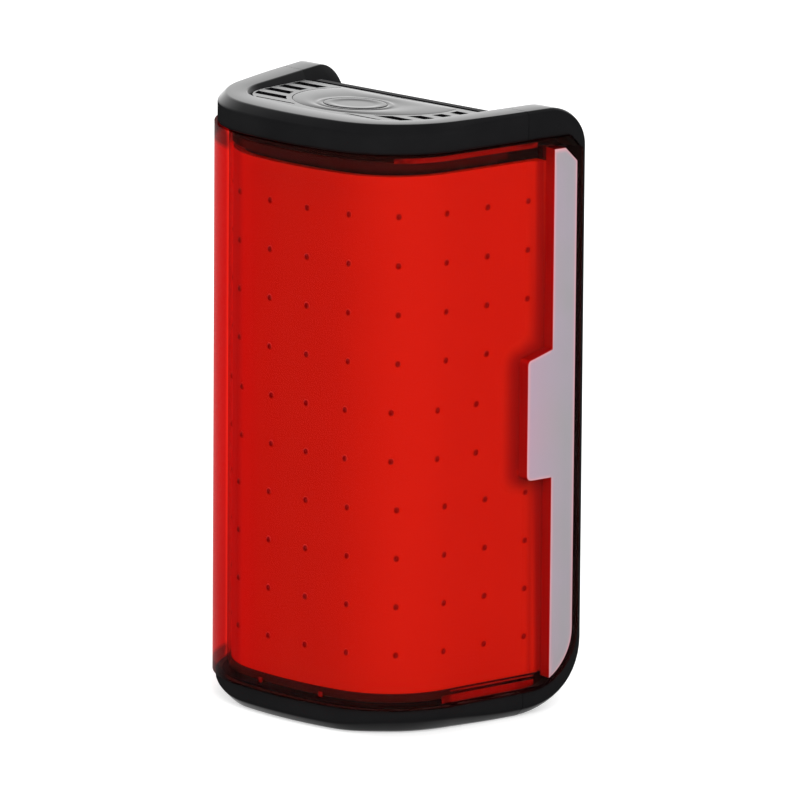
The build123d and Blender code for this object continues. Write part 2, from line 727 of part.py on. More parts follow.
# Back plate: a thin cover in the channel between the rails
plate_rear = plate_front + PLATE_THICKNESS
plate_top = HEIGHT - DECK_REAR_DROP
plate_half = side_x(RIM_INSET + PLATE_FIT, plate_front)
with BuildPart() as back_plate:
    with BuildSketch(across(plate_front)):
        with Locations((0, (plate_top + PLATE_BOTTOM) / 2)):
            RectangleRounded(2 * plate_half, plate_top - PLATE_BOTTOM, PLATE_CORNER)
        with Locations(insert_places):
            Circle(MOUNT_HOLE_RADIUS + MOUNT_CLEARANCE, mode=Mode.SUBTRACT)
        with Locations(screw_places):
            Circle(SCREW_RADIUS + SCREW_CLEARANCE, mode=Mode.SUBTRACT)
    extrude(amount=PLATE_THICKNESS)
save(back_plate, "back_plate")

# Gasket between the back plate and the web
gasket_low = web_bottom + PLATE_FIT
gasket_tall = web_height - 2 * PLATE_FIT
gasket_middle = (0, gasket_low + gasket_tall / 2)
with BuildPart() as back_gasket:
    with BuildSketch(across(web_rear)):
        with Locations(gasket_middle):
            Rectangle(2 * gasket_half, gasket_tall)
            hole_width = 2 * (gasket_half - GASKET_WIDTH)
            Rectangle(hole_width, gasket_tall - 2 * GASKET_WIDTH, mode=Mode.SUBTRACT)
    extrude(amount=plate_front - web_rear)
save(back_gasket, "back_gasket")

# Brass inserts for the mounting screws, seated from the web's rear face
with BuildPart() as mount_inserts:
    with BuildSketch(across(plate_front)):
        with Locations(insert_places):
            Circle(INSERT_RADIUS + INSERT_RIM)
    extrude(amount=-(plate_front - web_rear))
    with BuildSketch(across(web_rear)):
        with Locations(insert_places):
            Circle(INSERT_RADIUS)
    extrude(amount=-INSERT_LENGTH)
    with BuildSketch(across(plate_front)):
        with Locations(insert_places):
            Circle(MOUNT_HOLE_RADIUS)
    extrude(amount=-(plate_front - web_rear + INSERT_LENGTH), mode=Mode.SUBTRACT)
save(mount_inserts, "mount_inserts")

# Screws that clamp the plate, the rear shell and the chassis together
screw_end = web_front - BOSS_LENGTH + BOSS_FLOOR
with BuildPart() as back_screws:
    with BuildSketch(across(plate_rear)):
        with Locations(screw_places):
            Circle(SCREW_HEAD_RADIUS)
    extrude(amount=SCREW_HEAD_HEIGHT)
    heads = back_screws.edges().filter_by(GeomType.CIRCLE).group_by(Axis.Y)[-1]
    fillet(heads, SCREW_HEAD_HEIGHT / 3)
    with BuildSketch(across(plate_rear)):
        with Locations(screw_places):
            Circle(SCREW_RADIUS)
    extrude(amount=screw_end - plate_rear)
    with BuildSketch(across(plate_rear + SCREW_HEAD_HEIGHT)):
        with Locations(screw_places):
            RegularPolygon(SCREW_SOCKET, 6)
    extrude(amount=-SCREW_SOCKET, mode=Mode.SUBTRACT)
save(back_screws, "back_screws")

# Light panel and its flexible board: two U-shaped shells with a notch for each window tab
panel_top = lens_top - PANEL_TOP_GAP
panel_bottom = lens_bottom + PANEL_BOTTOM_GAP


def panel_shell(inset, thickness, rear, margin):
    """U-shaped shell of the light panel's height, drawn in by margin, notched at the tabs."""
    notch_front = tab_front - WALL_GAP - margin
    notch_height = TAB_HEIGHT + 2 * TAB_SLOPE + 2 * margin
    with BuildPart() as shell:
        with BuildSketch(Plane.XY.offset(panel_bottom + margin)):
            add(plan(inset, rear))
            add(plan(inset + thickness, rear + 1), mode=Mode.SUBTRACT)
        extrude(amount=panel_top - panel_bottom - 2 * margin)
        with BuildSketch(Plane.YZ):
            with Locations((notch_front, tab_middle)):
                Rectangle(DEPTH, notch_height, align=(Align.MIN, Align.CENTER))
        extrude(amount=WIDTH, both=True, mode=Mode.SUBTRACT)
    return shell


save(panel_shell(panel_inset, PANEL_THICKNESS, panel_rear, 0), "light_panel")
save(panel_shell(flex_inset, FLEX_THICKNESS, panel_rear, FLEX_MARGIN), "led_flex_board")

# Dots: a grid of small chips on the panel, squeezed together beside the window tabs
dot_inset = panel_inset - DOT_SEAT_GAP
dot_half_run = plan_run(dot_inset, panel_rear) - DOT_COLUMN_MARGIN
dot_row_pitch = (panel_top - panel_bottom - 2 * DOT_ROW_MARGIN) / (DOT_ROWS - 1)
dot_places = []
for column in range(DOT_COLUMNS):
    for row in range(DOT_ROWS):
        level = panel_bottom + DOT_ROW_MARGIN + row * dot_row_pitch
        beside_tab = abs(level - tab_middle) < TAB_HEIGHT / 2
        squeeze = DOT_SQUEEZE if beside_tab else 1
        distance = (2 * column / (DOT_COLUMNS - 1) - 1) * dot_half_run * squeeze
        (x, y), (out_x, out_y) = plan_place(dot_inset, distance)
        place = Plane(origin=(x, y, level), x_dir=(-out_y, out_x, 0), z_dir=(out_x, out_y, 0))
        dot_places.append(place.location)

with BuildPart() as led_dots:
    with Locations(dot_places):
        Box(DOT_SIZE, DOT_SIZE, DOT_HEIGHT, align=(Align.CENTER, Align.CENTER, Align.MIN))
save(led_dots, "led_dots")

# Chassis: a U-shaped wall behind the panel, with flanges, a shelf, screw bosses and a key
chassis_top = lens_top - CHASSIS_TOP_GAP
chassis_bottom = lens_bottom + CHASSIS_BOTTOM_GAP
chassis_rear = web_front - LENS_GAP
shelf_rear = web_front - SHELF_REAR_GAP

with BuildPart() as chassis_bosses:
    with BuildSketch(across(chassis_rear)):
        with Locations(screw_places):
            Circle(BOSS_RADIUS)
    extrude(amount=-BOSS_LENGTH)
    with BuildSketch(Plane.XY):
        add(plan(pocket_inset, chassis_rear))
    extrude(amount=HEIGHT, mode=Mode.INTERSECT)

with BuildPart() as chassis:
    with BuildSketch(Plane.XY.offset(chassis_bottom)):
        add(plan(pocket_inset, chassis_rear))
        add(plan(chassis_inner, chassis_rear + 1), mode=Mode.SUBTRACT)
    extrude(amount=chassis_top - chassis_bottom)
    for level in (chassis_bottom, chassis_top - CHASSIS_FLANGE):
        with BuildSketch(Plane.XY.offset(level)):
            add(plan(LENS_WALL + CHASSIS_FLANGE_GAP, chassis_rear))
            add(plan(chassis_inner, chassis_rear + 1), mode=Mode.SUBTRACT)
        extrude(amount=CHASSIS_FLANGE)
    with BuildSketch(Plane.XY.offset(shelf_bottom)):
        add(plan(chassis_inner - LENS_GAP, shelf_rear))
    extrude(amount=SHELF_THICKNESS)
    add(chassis_bosses.part)
    (key_x, key_y), (key_out_x, key_out_y) = plan_place(panel_inset - LENS_GAP, -KEY_DISTANCE)
    key_plane = Plane(
        origin=(key_x, key_y, chassis_top),
        x_dir=(-key_out_y, key_out_x, 0),
        z_dir=(key_out_x, key_out_y, 0),
    )
    with BuildSketch(key_plane):
        Rectangle(KEY_WIDTH, KEY_HEIGHT, align=(Align.CENTER, Align.MAX))
    extrude(amount=panel_inset - LENS_WALL - WALL_GAP)
    with BuildSketch(across(chassis_rear)):
        with Locations(screw_places):
            Circle(SCREW_RADIUS + SCREW_FIT)
    extrude(amount=screw_end - chassis_rear - BOSS_FLOOR / 2, mode=Mode.SUBTRACT)
save(chassis, "chassis")

# Button: a dished cap with a flange under the deck and a stem down to the switch
button_board_top = shelf_top + BUTTON_BOARD_THICKNESS
switch_top = button_board_top + SWITCH_HEIGHT
plunger_top = switch_top + SWITCH_PLUNGER_HEIGHT
switch_y = button_y - (deck_z(button_y) - plunger_top) * tan(radians(tilt))
stem_length = (deck_z(button_y) - plunger_top) / cos(radians(tilt)) - SWITCH_FIT
flange_depth = DECK_PLATE + BUTTON_FIT

with BuildPart() as button_cap:
    with BuildSketch(deck_plane.offset(BUTTON_PROUD)):
        Circle(BUTTON_RADIUS)
    extrude(amount=-(BUTTON_PROUD + flange_depth))
    fillet(button_cap.edges().group_by(Axis.Z)[-1], BUTTON_PROUD)
    with BuildSketch(deck_plane.offset(BUTTON_PROUD)):
        Circle(BUTTON_DISH_RADIUS)
    extrude(amount=-BUTTON_DISH, mode=Mode.SUBTRACT)
    with BuildSketch(deck_plane.offset(-flange_depth)):
        Circle(BUTTON_RADIUS + BUTTON_FLANGE)
    extrude(amount=-BUTTON_FLANGE_THICKNESS)
    with BuildSketch(deck_plane.offset(-flange_depth)):
        Circle(BUTTON_STEM_RADIUS)
    extrude(amount=flange_depth - stem_length)
save(button_cap, "button_cap")

# Pad round the button: a soft cut-off disc with a raised ring, let into the deck
with BuildPart() as button_pad:
    with BuildSketch(deck_plane.offset(-PAD_THICKNESS)):
        add(pad_outline(PAD_FIT))
        Circle(BUTTON_RADIUS + BUTTON_FIT, mode=Mode.SUBTRACT)
    extrude(amount=PAD_THICKNESS)
    with BuildSketch(deck_plane):
        Circle(BUTTON_RADIUS + BUTTON_FIT + PAD_RING)
        Circle(BUTTON_RADIUS + BUTTON_FIT, mode=Mode.SUBTRACT)
    extrude(amount=PAD_CROWN)
save(button_pad, "button_pad")

# Button board on the shelf, joined to the main board by a row of pins
pin_y = board_front - PIN_RADIUS - SCREW_FIT
pin_places = [((place - (PIN_COUNT - 1) / 2) * PIN_PITCH, pin_y) for place in range(PIN_COUNT)]
button_board_rear = board_front + PIN_RADIUS
with BuildPart() as button_board:
    with BuildSketch(Plane.XY.offset(shelf_top)):
        with Locations((0, button_board_rear)):
            corner = (Align.CENTER, Align.MAX)
            Rectangle(BUTTON_BOARD_WIDTH, BUTTON_BOARD_LENGTH, align=corner)
        with Locations(pin_places):
            Circle(PIN_RADIUS + PAD_FIT, mode=Mode.SUBTRACT)
    extrude(amount=BUTTON_BOARD_THICKNESS)
save(button_board, "button_board")

with BuildPart() as link_pins:
    with BuildSketch(Plane.XY.offset(board_top - PIN_OVERLAP)):
        with Locations(pin_places):
            Circle(PIN_RADIUS)
    extrude(amount=button_board_top + PIN_RADIUS - board_top + PIN_OVERLAP)
save(link_pins, "link_pins")

# Push switch under the button's stem, and its plunger on the stem's tilted line
with BuildPart() as tact_switch:
    with BuildSketch(Plane.XY.offset(button_board_top)):
        with Locations((0, switch_y)):
            RectangleRounded(SWITCH_SIZE, SWITCH_SIZE, SWITCH_CORNER)
    extrude(amount=SWITCH_HEIGHT)
    with BuildSketch(Plane.XY.offset(switch_top)):
        with Locations((0, switch_y)):
            Circle(SWITCH_PLUNGER_RADIUS + SWITCH_FIT)
    extrude(amount=-SWITCH_HEIGHT + SWITCH_FIT, mode=Mode.SUBTRACT)
save(tact_switch, "tact_switch")

plunger_plane = Plane(origin=(0, switch_y, plunger_top), x_dir=(1, 0, 0), z_dir=deck_normal)
plunger_length = SWITCH_HEIGHT + SWITCH_PLUNGER_HEIGHT - BUTTON_TRAVEL - 3 * SWITCH_FIT
with BuildPart() as tact_plunger:
    with BuildSketch(plunger_plane):
        Circle(SWITCH_PLUNGER_RADIUS - SWITCH_FIT / 2)
    extrude(amount=-plunger_length)
save(tact_plunger, "tact_plunger")

# Main board on pads of the web, with round holes for the insert bosses
board_level = (board_top + board_bottom) / 2
with BuildPart() as main_board:
    with BuildSketch(across(board_rear)):
        with Locations((0, board_level)):
            RectangleRounded(BOARD_WIDTH, board_top - board_bottom, BOARD_CORNER)
        with Locations(insert_places):
            Circle(INSERT_RADIUS + INSERT_BOSS_WALL + BOARD_HOLE_FIT, mode=Mode.SUBTRACT)
        with Locations(board_screw_places):
            Circle(BOARD_SCREW_RADIUS + PAD_FIT, mode=Mode.SUBTRACT)
    extrude(amount=-BOARD_THICKNESS)
save(main_board, "main_board")

with BuildPart() as board_screws:
    with BuildSketch(across(board_front)):
        with Locations(board_screw_places):
            Circle(BOARD_SCREW_RADIUS)
    extrude(amount=BOARD_THICKNESS + BOARD_WEB_GAP + WEB_THICKNESS / 2)
    with BuildSketch(across(board_front)):
        with Locations(board_screw_places):
            Circle(2 * BOARD_SCREW_RADIUS)
    extrude(amount=-BOARD_SCREW_HEAD)
save(board_screws, "board_screws")


def board_parts(name, places, width, height, depth):
    """Blocks of one kind on the main board's front face, saved as one node."""
    with BuildPart() as blocks:
        with BuildSketch(across(board_front)):
            with Locations(places):
                RectangleRounded(width, height, min(width, height) / 8)
        extrude(amount=-depth)
    save(blocks, name)


inductor_place = (INDUCTOR_X, board_top - INDUCTOR_SIZE / 2)
capacitor_places = [
    ((count - (CAPACITOR_COUNT - 1) / 2) * CAPACITOR_PITCH, board_bottom + CAPACITOR_LEVEL)
    for count in range(CAPACITOR_COUNT)
]
board_parts("controller_chip", [(0, mount_middle)], CHIP_SIZE, CHIP_SIZE, CHIP_THICKNESS)
board_parts(
    "driver_inductor", [inductor_place], INDUCTOR_SIZE, INDUCTOR_SIZE, INDUCTOR_THICKNESS
)
board_parts(
    "capacitors", capacitor_places, CAPACITOR_WIDTH, CAPACITOR_HEIGHT, CAPACITOR_THICKNESS
)

# Charging socket: a metal shell with its tongue, mouth downwards
bore_width = USB_WIDTH - 2 * USB_WALL
bore_height = USB_THICKNESS - 2 * USB_WALL
bore_corner = USB_CORNER - USB_WALL
with BuildPart() as usb_socket:
    with BuildSketch(Plane.XY.offset(USB_MOUTH)):
        with Locations((0, port_y)):
            RectangleRounded(USB_WIDTH, USB_THICKNESS, USB_CORNER)
            RectangleRounded(bore_width, bore_height, bore_corner, mode=Mode.SUBTRACT)
    extrude(amount=USB_LENGTH)
save(usb_socket, "usb_socket")

with BuildPart() as usb_tongue:
    with BuildSketch(Plane.XY.offset(USB_MOUTH + USB_LENGTH)):
        with Locations((0, port_y)):
            RectangleRounded(bore_width - PAD_FIT, bore_height - PAD_FIT, bore_corner)
    extrude(amount=-TONGUE_BLOCK)
    with BuildSketch(Plane.XY.offset(USB_MOUTH + TONGUE_SETBACK)):
        with Locations((0, port_y)):
            Rectangle(TONGUE_WIDTH, TONGUE_THICKNESS)
    extrude(amount=USB_LENGTH - TONGUE_SETBACK)
save(usb_tongue, "usb_tongue")

# Spreader on the chassis, the foam on it, and the battery cell between foam and bosses
cell_top = shelf_bottom - CELL_TOP_GAP
cell_rear = web_rear - INSERT_LENGTH - BOARD_HOLE_FIT - CELL_GAP
spreader_front = front_y + chassis_inner + SPREADER_GAP
spreader_rear = spreader_front + SPREADER_THICKNESS
cell_front = spreader_rear + FOAM_THICKNESS
cell_middle = (cell_top + CELL_BOTTOM) / 2
cell_length = cell_top - CELL_BOTTOM
with BuildPart() as battery_cell:
    with BuildSketch(Plane.XY.offset(CELL_BOTTOM)):
        with Locations((0, (cell_front + cell_rear) / 2)):
            RectangleRounded(CELL_WIDTH, cell_rear - cell_front, CELL_CORNER)
    extrude(amount=cell_length)
save(battery_cell, "battery_cell")

with BuildPart() as heat_spreader:
    with BuildSketch(across(spreader_rear)):
        with Locations((0, cell_middle)):
            tall = cell_length + 2 * SPREADER_OVERHANG
            RectangleRounded(SPREADER_WIDTH, tall, SPREADER_CORNER)
    extrude(amount=-SPREADER_THICKNESS)
save(heat_spreader, "heat_spreader")

with BuildPart() as battery_pad:
    with BuildSketch(across(spreader_rear)):
        with Locations((0, cell_middle)):
            Rectangle(SPREADER_WIDTH, cell_length - 2 * FOAM_MARGIN)
    extrude(amount=FOAM_THICKNESS)
save(battery_pad, "battery_pad")

# Leads from the cell's top to the board
lead_level = cell_top + LEAD_RISE
lead_y = (cell_front + cell_rear) / 2
with BuildPart() as battery_leads:
    for lead_x in (LEAD_X, LEAD_X + LEAD_PITCH):
        with BuildLine():
            FilletPolyline(
                (lead_x, lead_y, cell_top),
                (lead_x, lead_y, lead_level),
                (lead_x, board_front, lead_level),
                radius=LEAD_BEND,
            )
        with BuildSketch(Plane(origin=(lead_x, lead_y, cell_top), z_dir=(0, 0, 1))):
            Circle(LEAD_RADIUS)
        sweep()
save(battery_leads, "battery_leads")

# Side lights behind the windows: a guide, its small board and its chips in each rail
led_levels = [
    tab_middle + (count - (SIDE_LED_COUNT - 1) / 2) * SIDE_LED_PITCH
    for count in range(SIDE_LED_COUNT)
]


def rail_sheet(sign, inset, thickness, grow):
    """Sheet that follows a rail behind its window, the window's outline grown by grow."""
    with BuildPart() as sheet:
        with BuildSketch(Plane.XY):
            add(plan(inset, lens_rear))
            add(plan(inset + thickness, rear_y), mode=Mode.SUBTRACT)
        extrude(amount=HEIGHT)
        with BuildSketch(Plane.YZ):
            add(window_view(grow))
        extrude(amount=sign * WIDTH, mode=Mode.INTERSECT)
    return sheet


for sign, name in ((1, "right"), (-1, "left")):
    guide = rail_sheet(sign, skirt_inset, GUIDE_THICKNESS, -SIDE_POCKET_MARGIN)
    save(guide, f"side_guide_{name}")
    strip = rail_sheet(sign, side_board_inset, SIDE_BOARD_THICKNESS, -2 * SIDE_POCKET_MARGIN)
    save(strip, f"side_led_board_{name}")

with BuildPart() as side_leds:
    middle_y = (window_front + window_rear) / 2
    middle_x = side_x(side_board_inset - SIDE_LED / 2, middle_y)
    for sign in (1, -1):
        for level in led_levels:
            led_plane = Plane(
                origin=(sign * middle_x, middle_y, level),
                x_dir=(sign * cos(side), sin(side), 0),
                z_dir=(sign * sin(side), -cos(side), 0),
            )
            with BuildSketch(led_plane):
                Rectangle(SIDE_LED_WIDTH, SIDE_LED_WIDTH)
            extrude(amount=SIDE_LED / 2 - SCREW_FIT, both=True)
save(side_leds, "side_leds")
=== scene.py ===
import logging
import math
from dataclasses import dataclass
from enum import Enum
from functools import cached_property

import bmesh
import bpy
import numpy as np
from mathutils import Matrix, Vector


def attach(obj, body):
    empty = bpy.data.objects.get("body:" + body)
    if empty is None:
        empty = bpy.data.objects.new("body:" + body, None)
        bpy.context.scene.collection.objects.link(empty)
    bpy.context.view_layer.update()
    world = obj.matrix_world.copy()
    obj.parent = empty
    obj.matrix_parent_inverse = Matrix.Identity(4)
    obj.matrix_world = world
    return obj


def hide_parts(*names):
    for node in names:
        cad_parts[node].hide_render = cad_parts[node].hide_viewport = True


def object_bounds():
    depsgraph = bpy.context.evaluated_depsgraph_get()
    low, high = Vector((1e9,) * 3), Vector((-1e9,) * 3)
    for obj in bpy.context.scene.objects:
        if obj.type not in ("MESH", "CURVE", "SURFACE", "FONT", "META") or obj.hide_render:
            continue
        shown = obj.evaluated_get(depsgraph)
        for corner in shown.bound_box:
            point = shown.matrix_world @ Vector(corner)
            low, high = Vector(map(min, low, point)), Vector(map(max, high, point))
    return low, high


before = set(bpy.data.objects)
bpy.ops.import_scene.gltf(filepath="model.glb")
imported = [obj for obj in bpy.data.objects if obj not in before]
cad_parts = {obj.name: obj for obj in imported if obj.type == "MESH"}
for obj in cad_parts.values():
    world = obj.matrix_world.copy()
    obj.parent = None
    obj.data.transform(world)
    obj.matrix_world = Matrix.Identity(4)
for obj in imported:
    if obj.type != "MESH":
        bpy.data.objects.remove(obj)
CAD_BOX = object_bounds()

# A bicycle tail light. Lengths are metres; +Z is up, the lens faces -Y and the bracket side +Y.
# Points closer than WELD are joined, and a length or share below TINY counts as nothing.
LOG = logging.getLogger("tail_light")
MM = 0.001
WELD = 0.002 * MM
TINY = 1e-7
MIRROR = np.array([-1, 1, 1])
Colour = tuple[float, float, float]
Value = np.ndarray | float
Socket = bpy.types.NodeSocket


class Body(str, Enum):
    """The bodies that new pieces ride on."""

    LIGHT = "light"
    BUTTON = "button"


class Slot(str, Enum):
    """Material slots of the record."""

    SHELL = "black_shell"
    SOFT = "soft_black"
    LENS = "red_lens"
    WINDOW = "milky_window"
    CHIP = "led_chip"
    DIFFUSER = "red_diffuser"


# Plan and outlines that several pieces share


def chord(radius: float, away: np.ndarray) -> np.ndarray:
    """Half width of a circle at a distance from its middle: the root of the squares' difference."""
    return np.sqrt(np.maximum(radius**2 - away**2, 0))


@dataclass(frozen=True)
class Plan:
    """The light seen from above: a shallow front arc, two corner arcs and two straight sides.

    A place on it is a run, measured along the outermost curve from the front middle and
    positive to +X, and an inset, measured inwards along the curve's normal.
    """

    half_width: float = 20.0 * MM
    rear: float = 13.7 * MM
    front_radius: float = 45.0 * MM
    corner_radius: float = 11.8 * MM
    side_angle: float = math.radians(79.5)
    front_steps: int = 5
    corner_steps: int = 20
    side_steps: int = 6

    @cached_property
    def front_centre_y(self) -> float:
        """Y of the front arc's centre."""
        return self.front_radius - self.rear

    @cached_property
    def corner(self) -> tuple[float, float]:
        """Centre of the right corner arc.

        The arc touches the side line and the front arc. Its centre slides along the line that
        is parallel to the side, one corner radius inside it, until it lies the difference of
        the two radii from the front arc's centre.

        Returns:
            X and Y of the centre.
        """
        sine, cosine = math.sin(self.side_angle), math.cos(self.side_angle)
        x = self.half_width - self.corner_radius * sine
        y = self.rear + self.corner_radius * cosine - self.front_centre_y
        along = x * cosine + y * sine
        reach = self.front_radius - self.corner_radius
        slide = along + math.sqrt(along**2 - x**2 - y**2 + reach**2)
        return x - slide * cosine, y + self.front_centre_y - slide * sine

    @cached_property
    def front_angle(self) -> float:
        """Half angle of the front arc."""
        return math.atan2(self.corner[0], self.front_centre_y - self.corner[1])

    def arc_runs(self, inset: float) -> tuple[float, float]:
        """Lengths of half the front arc and of one corner arc.

        Args:
            inset: distance inside the outermost curve.

        Returns:
            The two lengths on the curve at that inset.
        """
        turned = self.side_angle - self.front_angle
        front = (self.front_radius - inset) * self.front_angle
        return front, (self.corner_radius - inset) * turned

    def end(self, y: Value, inset: Value) -> np.ndarray:
        """Run at which the straight side, moved in by the inset, reaches y.

        Args:
            y: place along the light's depth.
            inset: distance inside the outermost curve.

        Returns:
            The run: the two arcs, and the straight part divided by the side's sine.
        """
        front, corner = self.arc_runs(0)
        low = self.corner[1] - (self.corner_radius - inset) * math.cos(self.side_angle)
        return front + corner + (y - low) / math.sin(self.side_angle)

    def side_x(self, y: Value, inset: float) -> np.ndarray:
        """Half width on the straight side at y, moved in by the inset."""
        sine, tangent = math.sin(self.side_angle), math.tan(self.side_angle)
        return self.half_width - inset / sine + (y - self.rear) / tangent

    def half_x(self, y: np.ndarray, inset: float) -> np.ndarray:
        """Half width at y of the whole curve moved in by the inset.

        The side line holds behind the corner arc, the corner's circle in front of it and the
        front arc's circle where that is narrower still.

        Args:
            y: places along the light's depth.
            inset: distance inside the outermost curve.

        Returns:
            The half width, 0 in front of the curve.
        """
        front_r, corner_r = self.front_radius - inset, self.corner_radius - inset
        to_corner = self.corner[1] - y
        to_front = self.front_centre_y - y
        on_corner = self.corner[0] + chord(corner_r, to_corner)
        on_front = chord(front_r, to_front)
        on_side = self.side_x(y, inset)
        joint_y = self.corner[1] - corner_r * math.cos(self.front_angle)
        behind = to_corner < corner_r * math.cos(self.side_angle)
        return np.where(behind, on_side, np.where(y < joint_y, on_front, on_corner))

    def points(self, run: np.ndarray, inset: Value, z: Value) -> np.ndarray:
        """Points of the plan curve, raised to z.

        On an arc the point is the centre plus the radius, less the inset, times the sine and
        cosine of the angle turned; past the arcs it goes straight on along the side.

        Args:
            run: distance along the outermost curve from the front middle.
            inset: distance inside that curve.
            z: height.

        Returns:
            Points, with x, y and z on the last axis.
        """
        run, inset, z = np.broadcast_arrays(run, inset, z)
        far = np.abs(run)
        front, corner = self.arc_runs(0)
        on_front = far <= front
        turned = self.front_angle + (far - front) / self.corner_radius
        turn = np.where(on_front, far / self.front_radius, np.minimum(turned, self.side_angle))
        past = np.maximum(far - front - corner, 0)
        radius = np.where(on_front, self.front_radius, self.corner_radius) - inset
        x = np.where(on_front, 0, self.corner[0]) + radius * np.sin(turn)
        y = np.where(on_front, self.front_centre_y, self.corner[1]) - radius * np.cos(turn)
        x = x + past * math.cos(self.side_angle)
        y = y + past * math.sin(self.side_angle)
        return np.stack([np.sign(run) * x, y, z], -1)

    def stations(self, end: float, fine: int = 1) -> np.ndarray:
        """Shares of a run, from 0 at the front middle to 1 at its end, closest in the corner.

        Args:
            end: the run's length.
            fine: how many times finer than usual.

        Returns:
            The shares in rising order.
        """
        front, corner = self.arc_runs(0)
        parts = [
            np.linspace(0, front, self.front_steps * fine, endpoint=False),
            np.linspace(front, front + corner, self.corner_steps * fine, endpoint=False),
            np.linspace(front + corner, end, self.side_steps * fine),
        ]
        return np.concatenate(parts) / end

    def whole_stations(self, end: float, fine: int = 1) -> np.ndarray:
        """Shares of a run from -1 at its left end through the front to 1 at its right end."""
        half = self.stations(end, fine)
        return np.concatenate([-half[:0:-1], half])


@dataclass(frozen=True)
class SideOutline:
    """Rear edge of a piece in side view: upright, with its top corner cut and its bottom one round."""

    rear: float
    top: float
    cut: float
    arc_y: float
    arc_z: float
    arc_radius: float

    def rear_at(self, z: Value) -> np.ndarray:
        """Y of the rear edge: the circle below its centre, then upright, then slanting.

        Args:
            z: heights.

        Returns:
            Y at each height.
        """
        drop = np.clip(self.arc_z - z, 0, self.arc_radius)
        round_y = self.arc_y + np.sqrt(self.arc_radius**2 - drop**2)
        slant = np.maximum(z - (self.top - self.cut), 0)
        return np.where(z < self.arc_z, round_y, self.rear - slant)


@dataclass(frozen=True)
class Outlines:
    """Side views of the lens and of the window in it, from the shell's own sizes."""

    rear: float = 13.05 * MM
    bottom: float = 2.9 * MM
    top: float = 64.5 * MM
    cut: float = 1.6 * MM
    arc_radius: float = 6.5 * MM
    border: float = 0.35 * MM
    window_shift: float = 0.45 * MM
    window_width: float = 3.05 * MM
    window_end: float = 1.3 * MM
    tab_width: float = 3.3 * MM
    tab_height: float = 13.3 * MM
    tab_drop: float = 0.35 * MM
    tab_slope: float = 1.0 * MM
    tab_corner: float = 0.6 * MM
    wall: float = 1.6 * MM

    def lens(self) -> SideOutline:
        """Rear edge of the lens."""
        arc_y, arc_z = self.rear - self.arc_radius, self.bottom + self.arc_radius
        return SideOutline(self.rear, self.top, self.cut, arc_y, arc_z, self.arc_radius)

    def window(self, grow: float) -> SideOutline:
        """Rear edge of the window.

        Args:
            grow: how far the outline is moved outwards.

        Returns:
            The outline.
        """
        lens = self.lens()
        rear, top = self.strip_rear() + grow, self.top - self.window_end + grow
        radius = self.arc_radius - self.border + grow
        return SideOutline(rear, top, self.cut, lens.arc_y - self.window_shift, lens.arc_z, radius)

    def strip_rear(self) -> float:
        """Y of the window strip's rear edge."""
        return self.rear - self.border - self.window_shift

    def strip_front(self, grow: float) -> float:
        """Y of the window strip's front edge."""
        return self.strip_rear() - self.window_width - grow

    def tip(self, grow: float) -> float:
        """Height at which the window's round bottom meets its front edge.

        Args:
            grow: how far the outline is moved outwards.

        Returns:
            The height.
        """
        window = self.window(grow)
        across = self.strip_front(grow) - window.arc_y
        return window.arc_z - math.sqrt(window.arc_radius**2 - across**2)

    def tab_front(self, grow: float) -> float:
        """Y of the tab's front edge."""
        return self.strip_front(grow) - self.tab_width

    def tab_ends(self, grow: float) -> tuple[float, float]:
        """Heights of the tab's lower edge and of its upper edge at the tab's front."""
        middle = (self.top + self.bottom) / 2 - self.tab_drop
        return middle - self.tab_height / 2 - grow, middle + self.tab_height / 2 + grow

    def tab_top(self, y: Value, grow: float) -> np.ndarray:
        """Height of the tab's slanting upper edge at y."""
        return self.tab_ends(grow)[1] + self.tab_slope * (y - self.tab_front(grow)) / self.tab_width

    def shoulder(self, grow: float) -> float:
        """Height of the tab's upper edge where its rounded corner ends."""
        return float(self.tab_top(self.tab_front(grow) + self.tab_corner, grow))

    def tab_edge(self, z: np.ndarray, grow: float) -> np.ndarray:
        """Y of the tab's front edge, with its two corners rounded as quarter circles.

        Args:
            z: heights.
            grow: how far the outline is moved outwards.

        Returns:
            Y at each height.
        """
        low, high = self.tab_ends(grow)[0], self.shoulder(grow)
        inside = np.clip(np.minimum(z - low, high - z), 0, self.tab_corner)
        rounded = np.sqrt(self.tab_corner**2 - (self.tab_corner - inside) ** 2)
        return self.tab_front(grow) + self.tab_corner - rounded


# Mesh work

ROUNDED_ANGLE = math.radians(40)
SHARP_DEGREES = 32.0
SHELL_SHARP_DEGREES = 28.0
BEND_STEPS = 5


def blend(low: Value, high: Value, share: np.ndarray) -> np.ndarray:
    """Straight line from low to high, with a new last axis of shares."""
    low, high = np.asarray(low, float), np.asarray(high, float)
    return low[..., None] + (high - low)[..., None] * share


def eased(value: np.ndarray, start: float, stop: float) -> np.ndarray:
    """Smooth step: 0 up to start, 1 from stop, and three squares less two cubes between."""
    past = np.clip((value - start) / (stop - start), 0, 1)
    return past**2 * (3 - 2 * past)


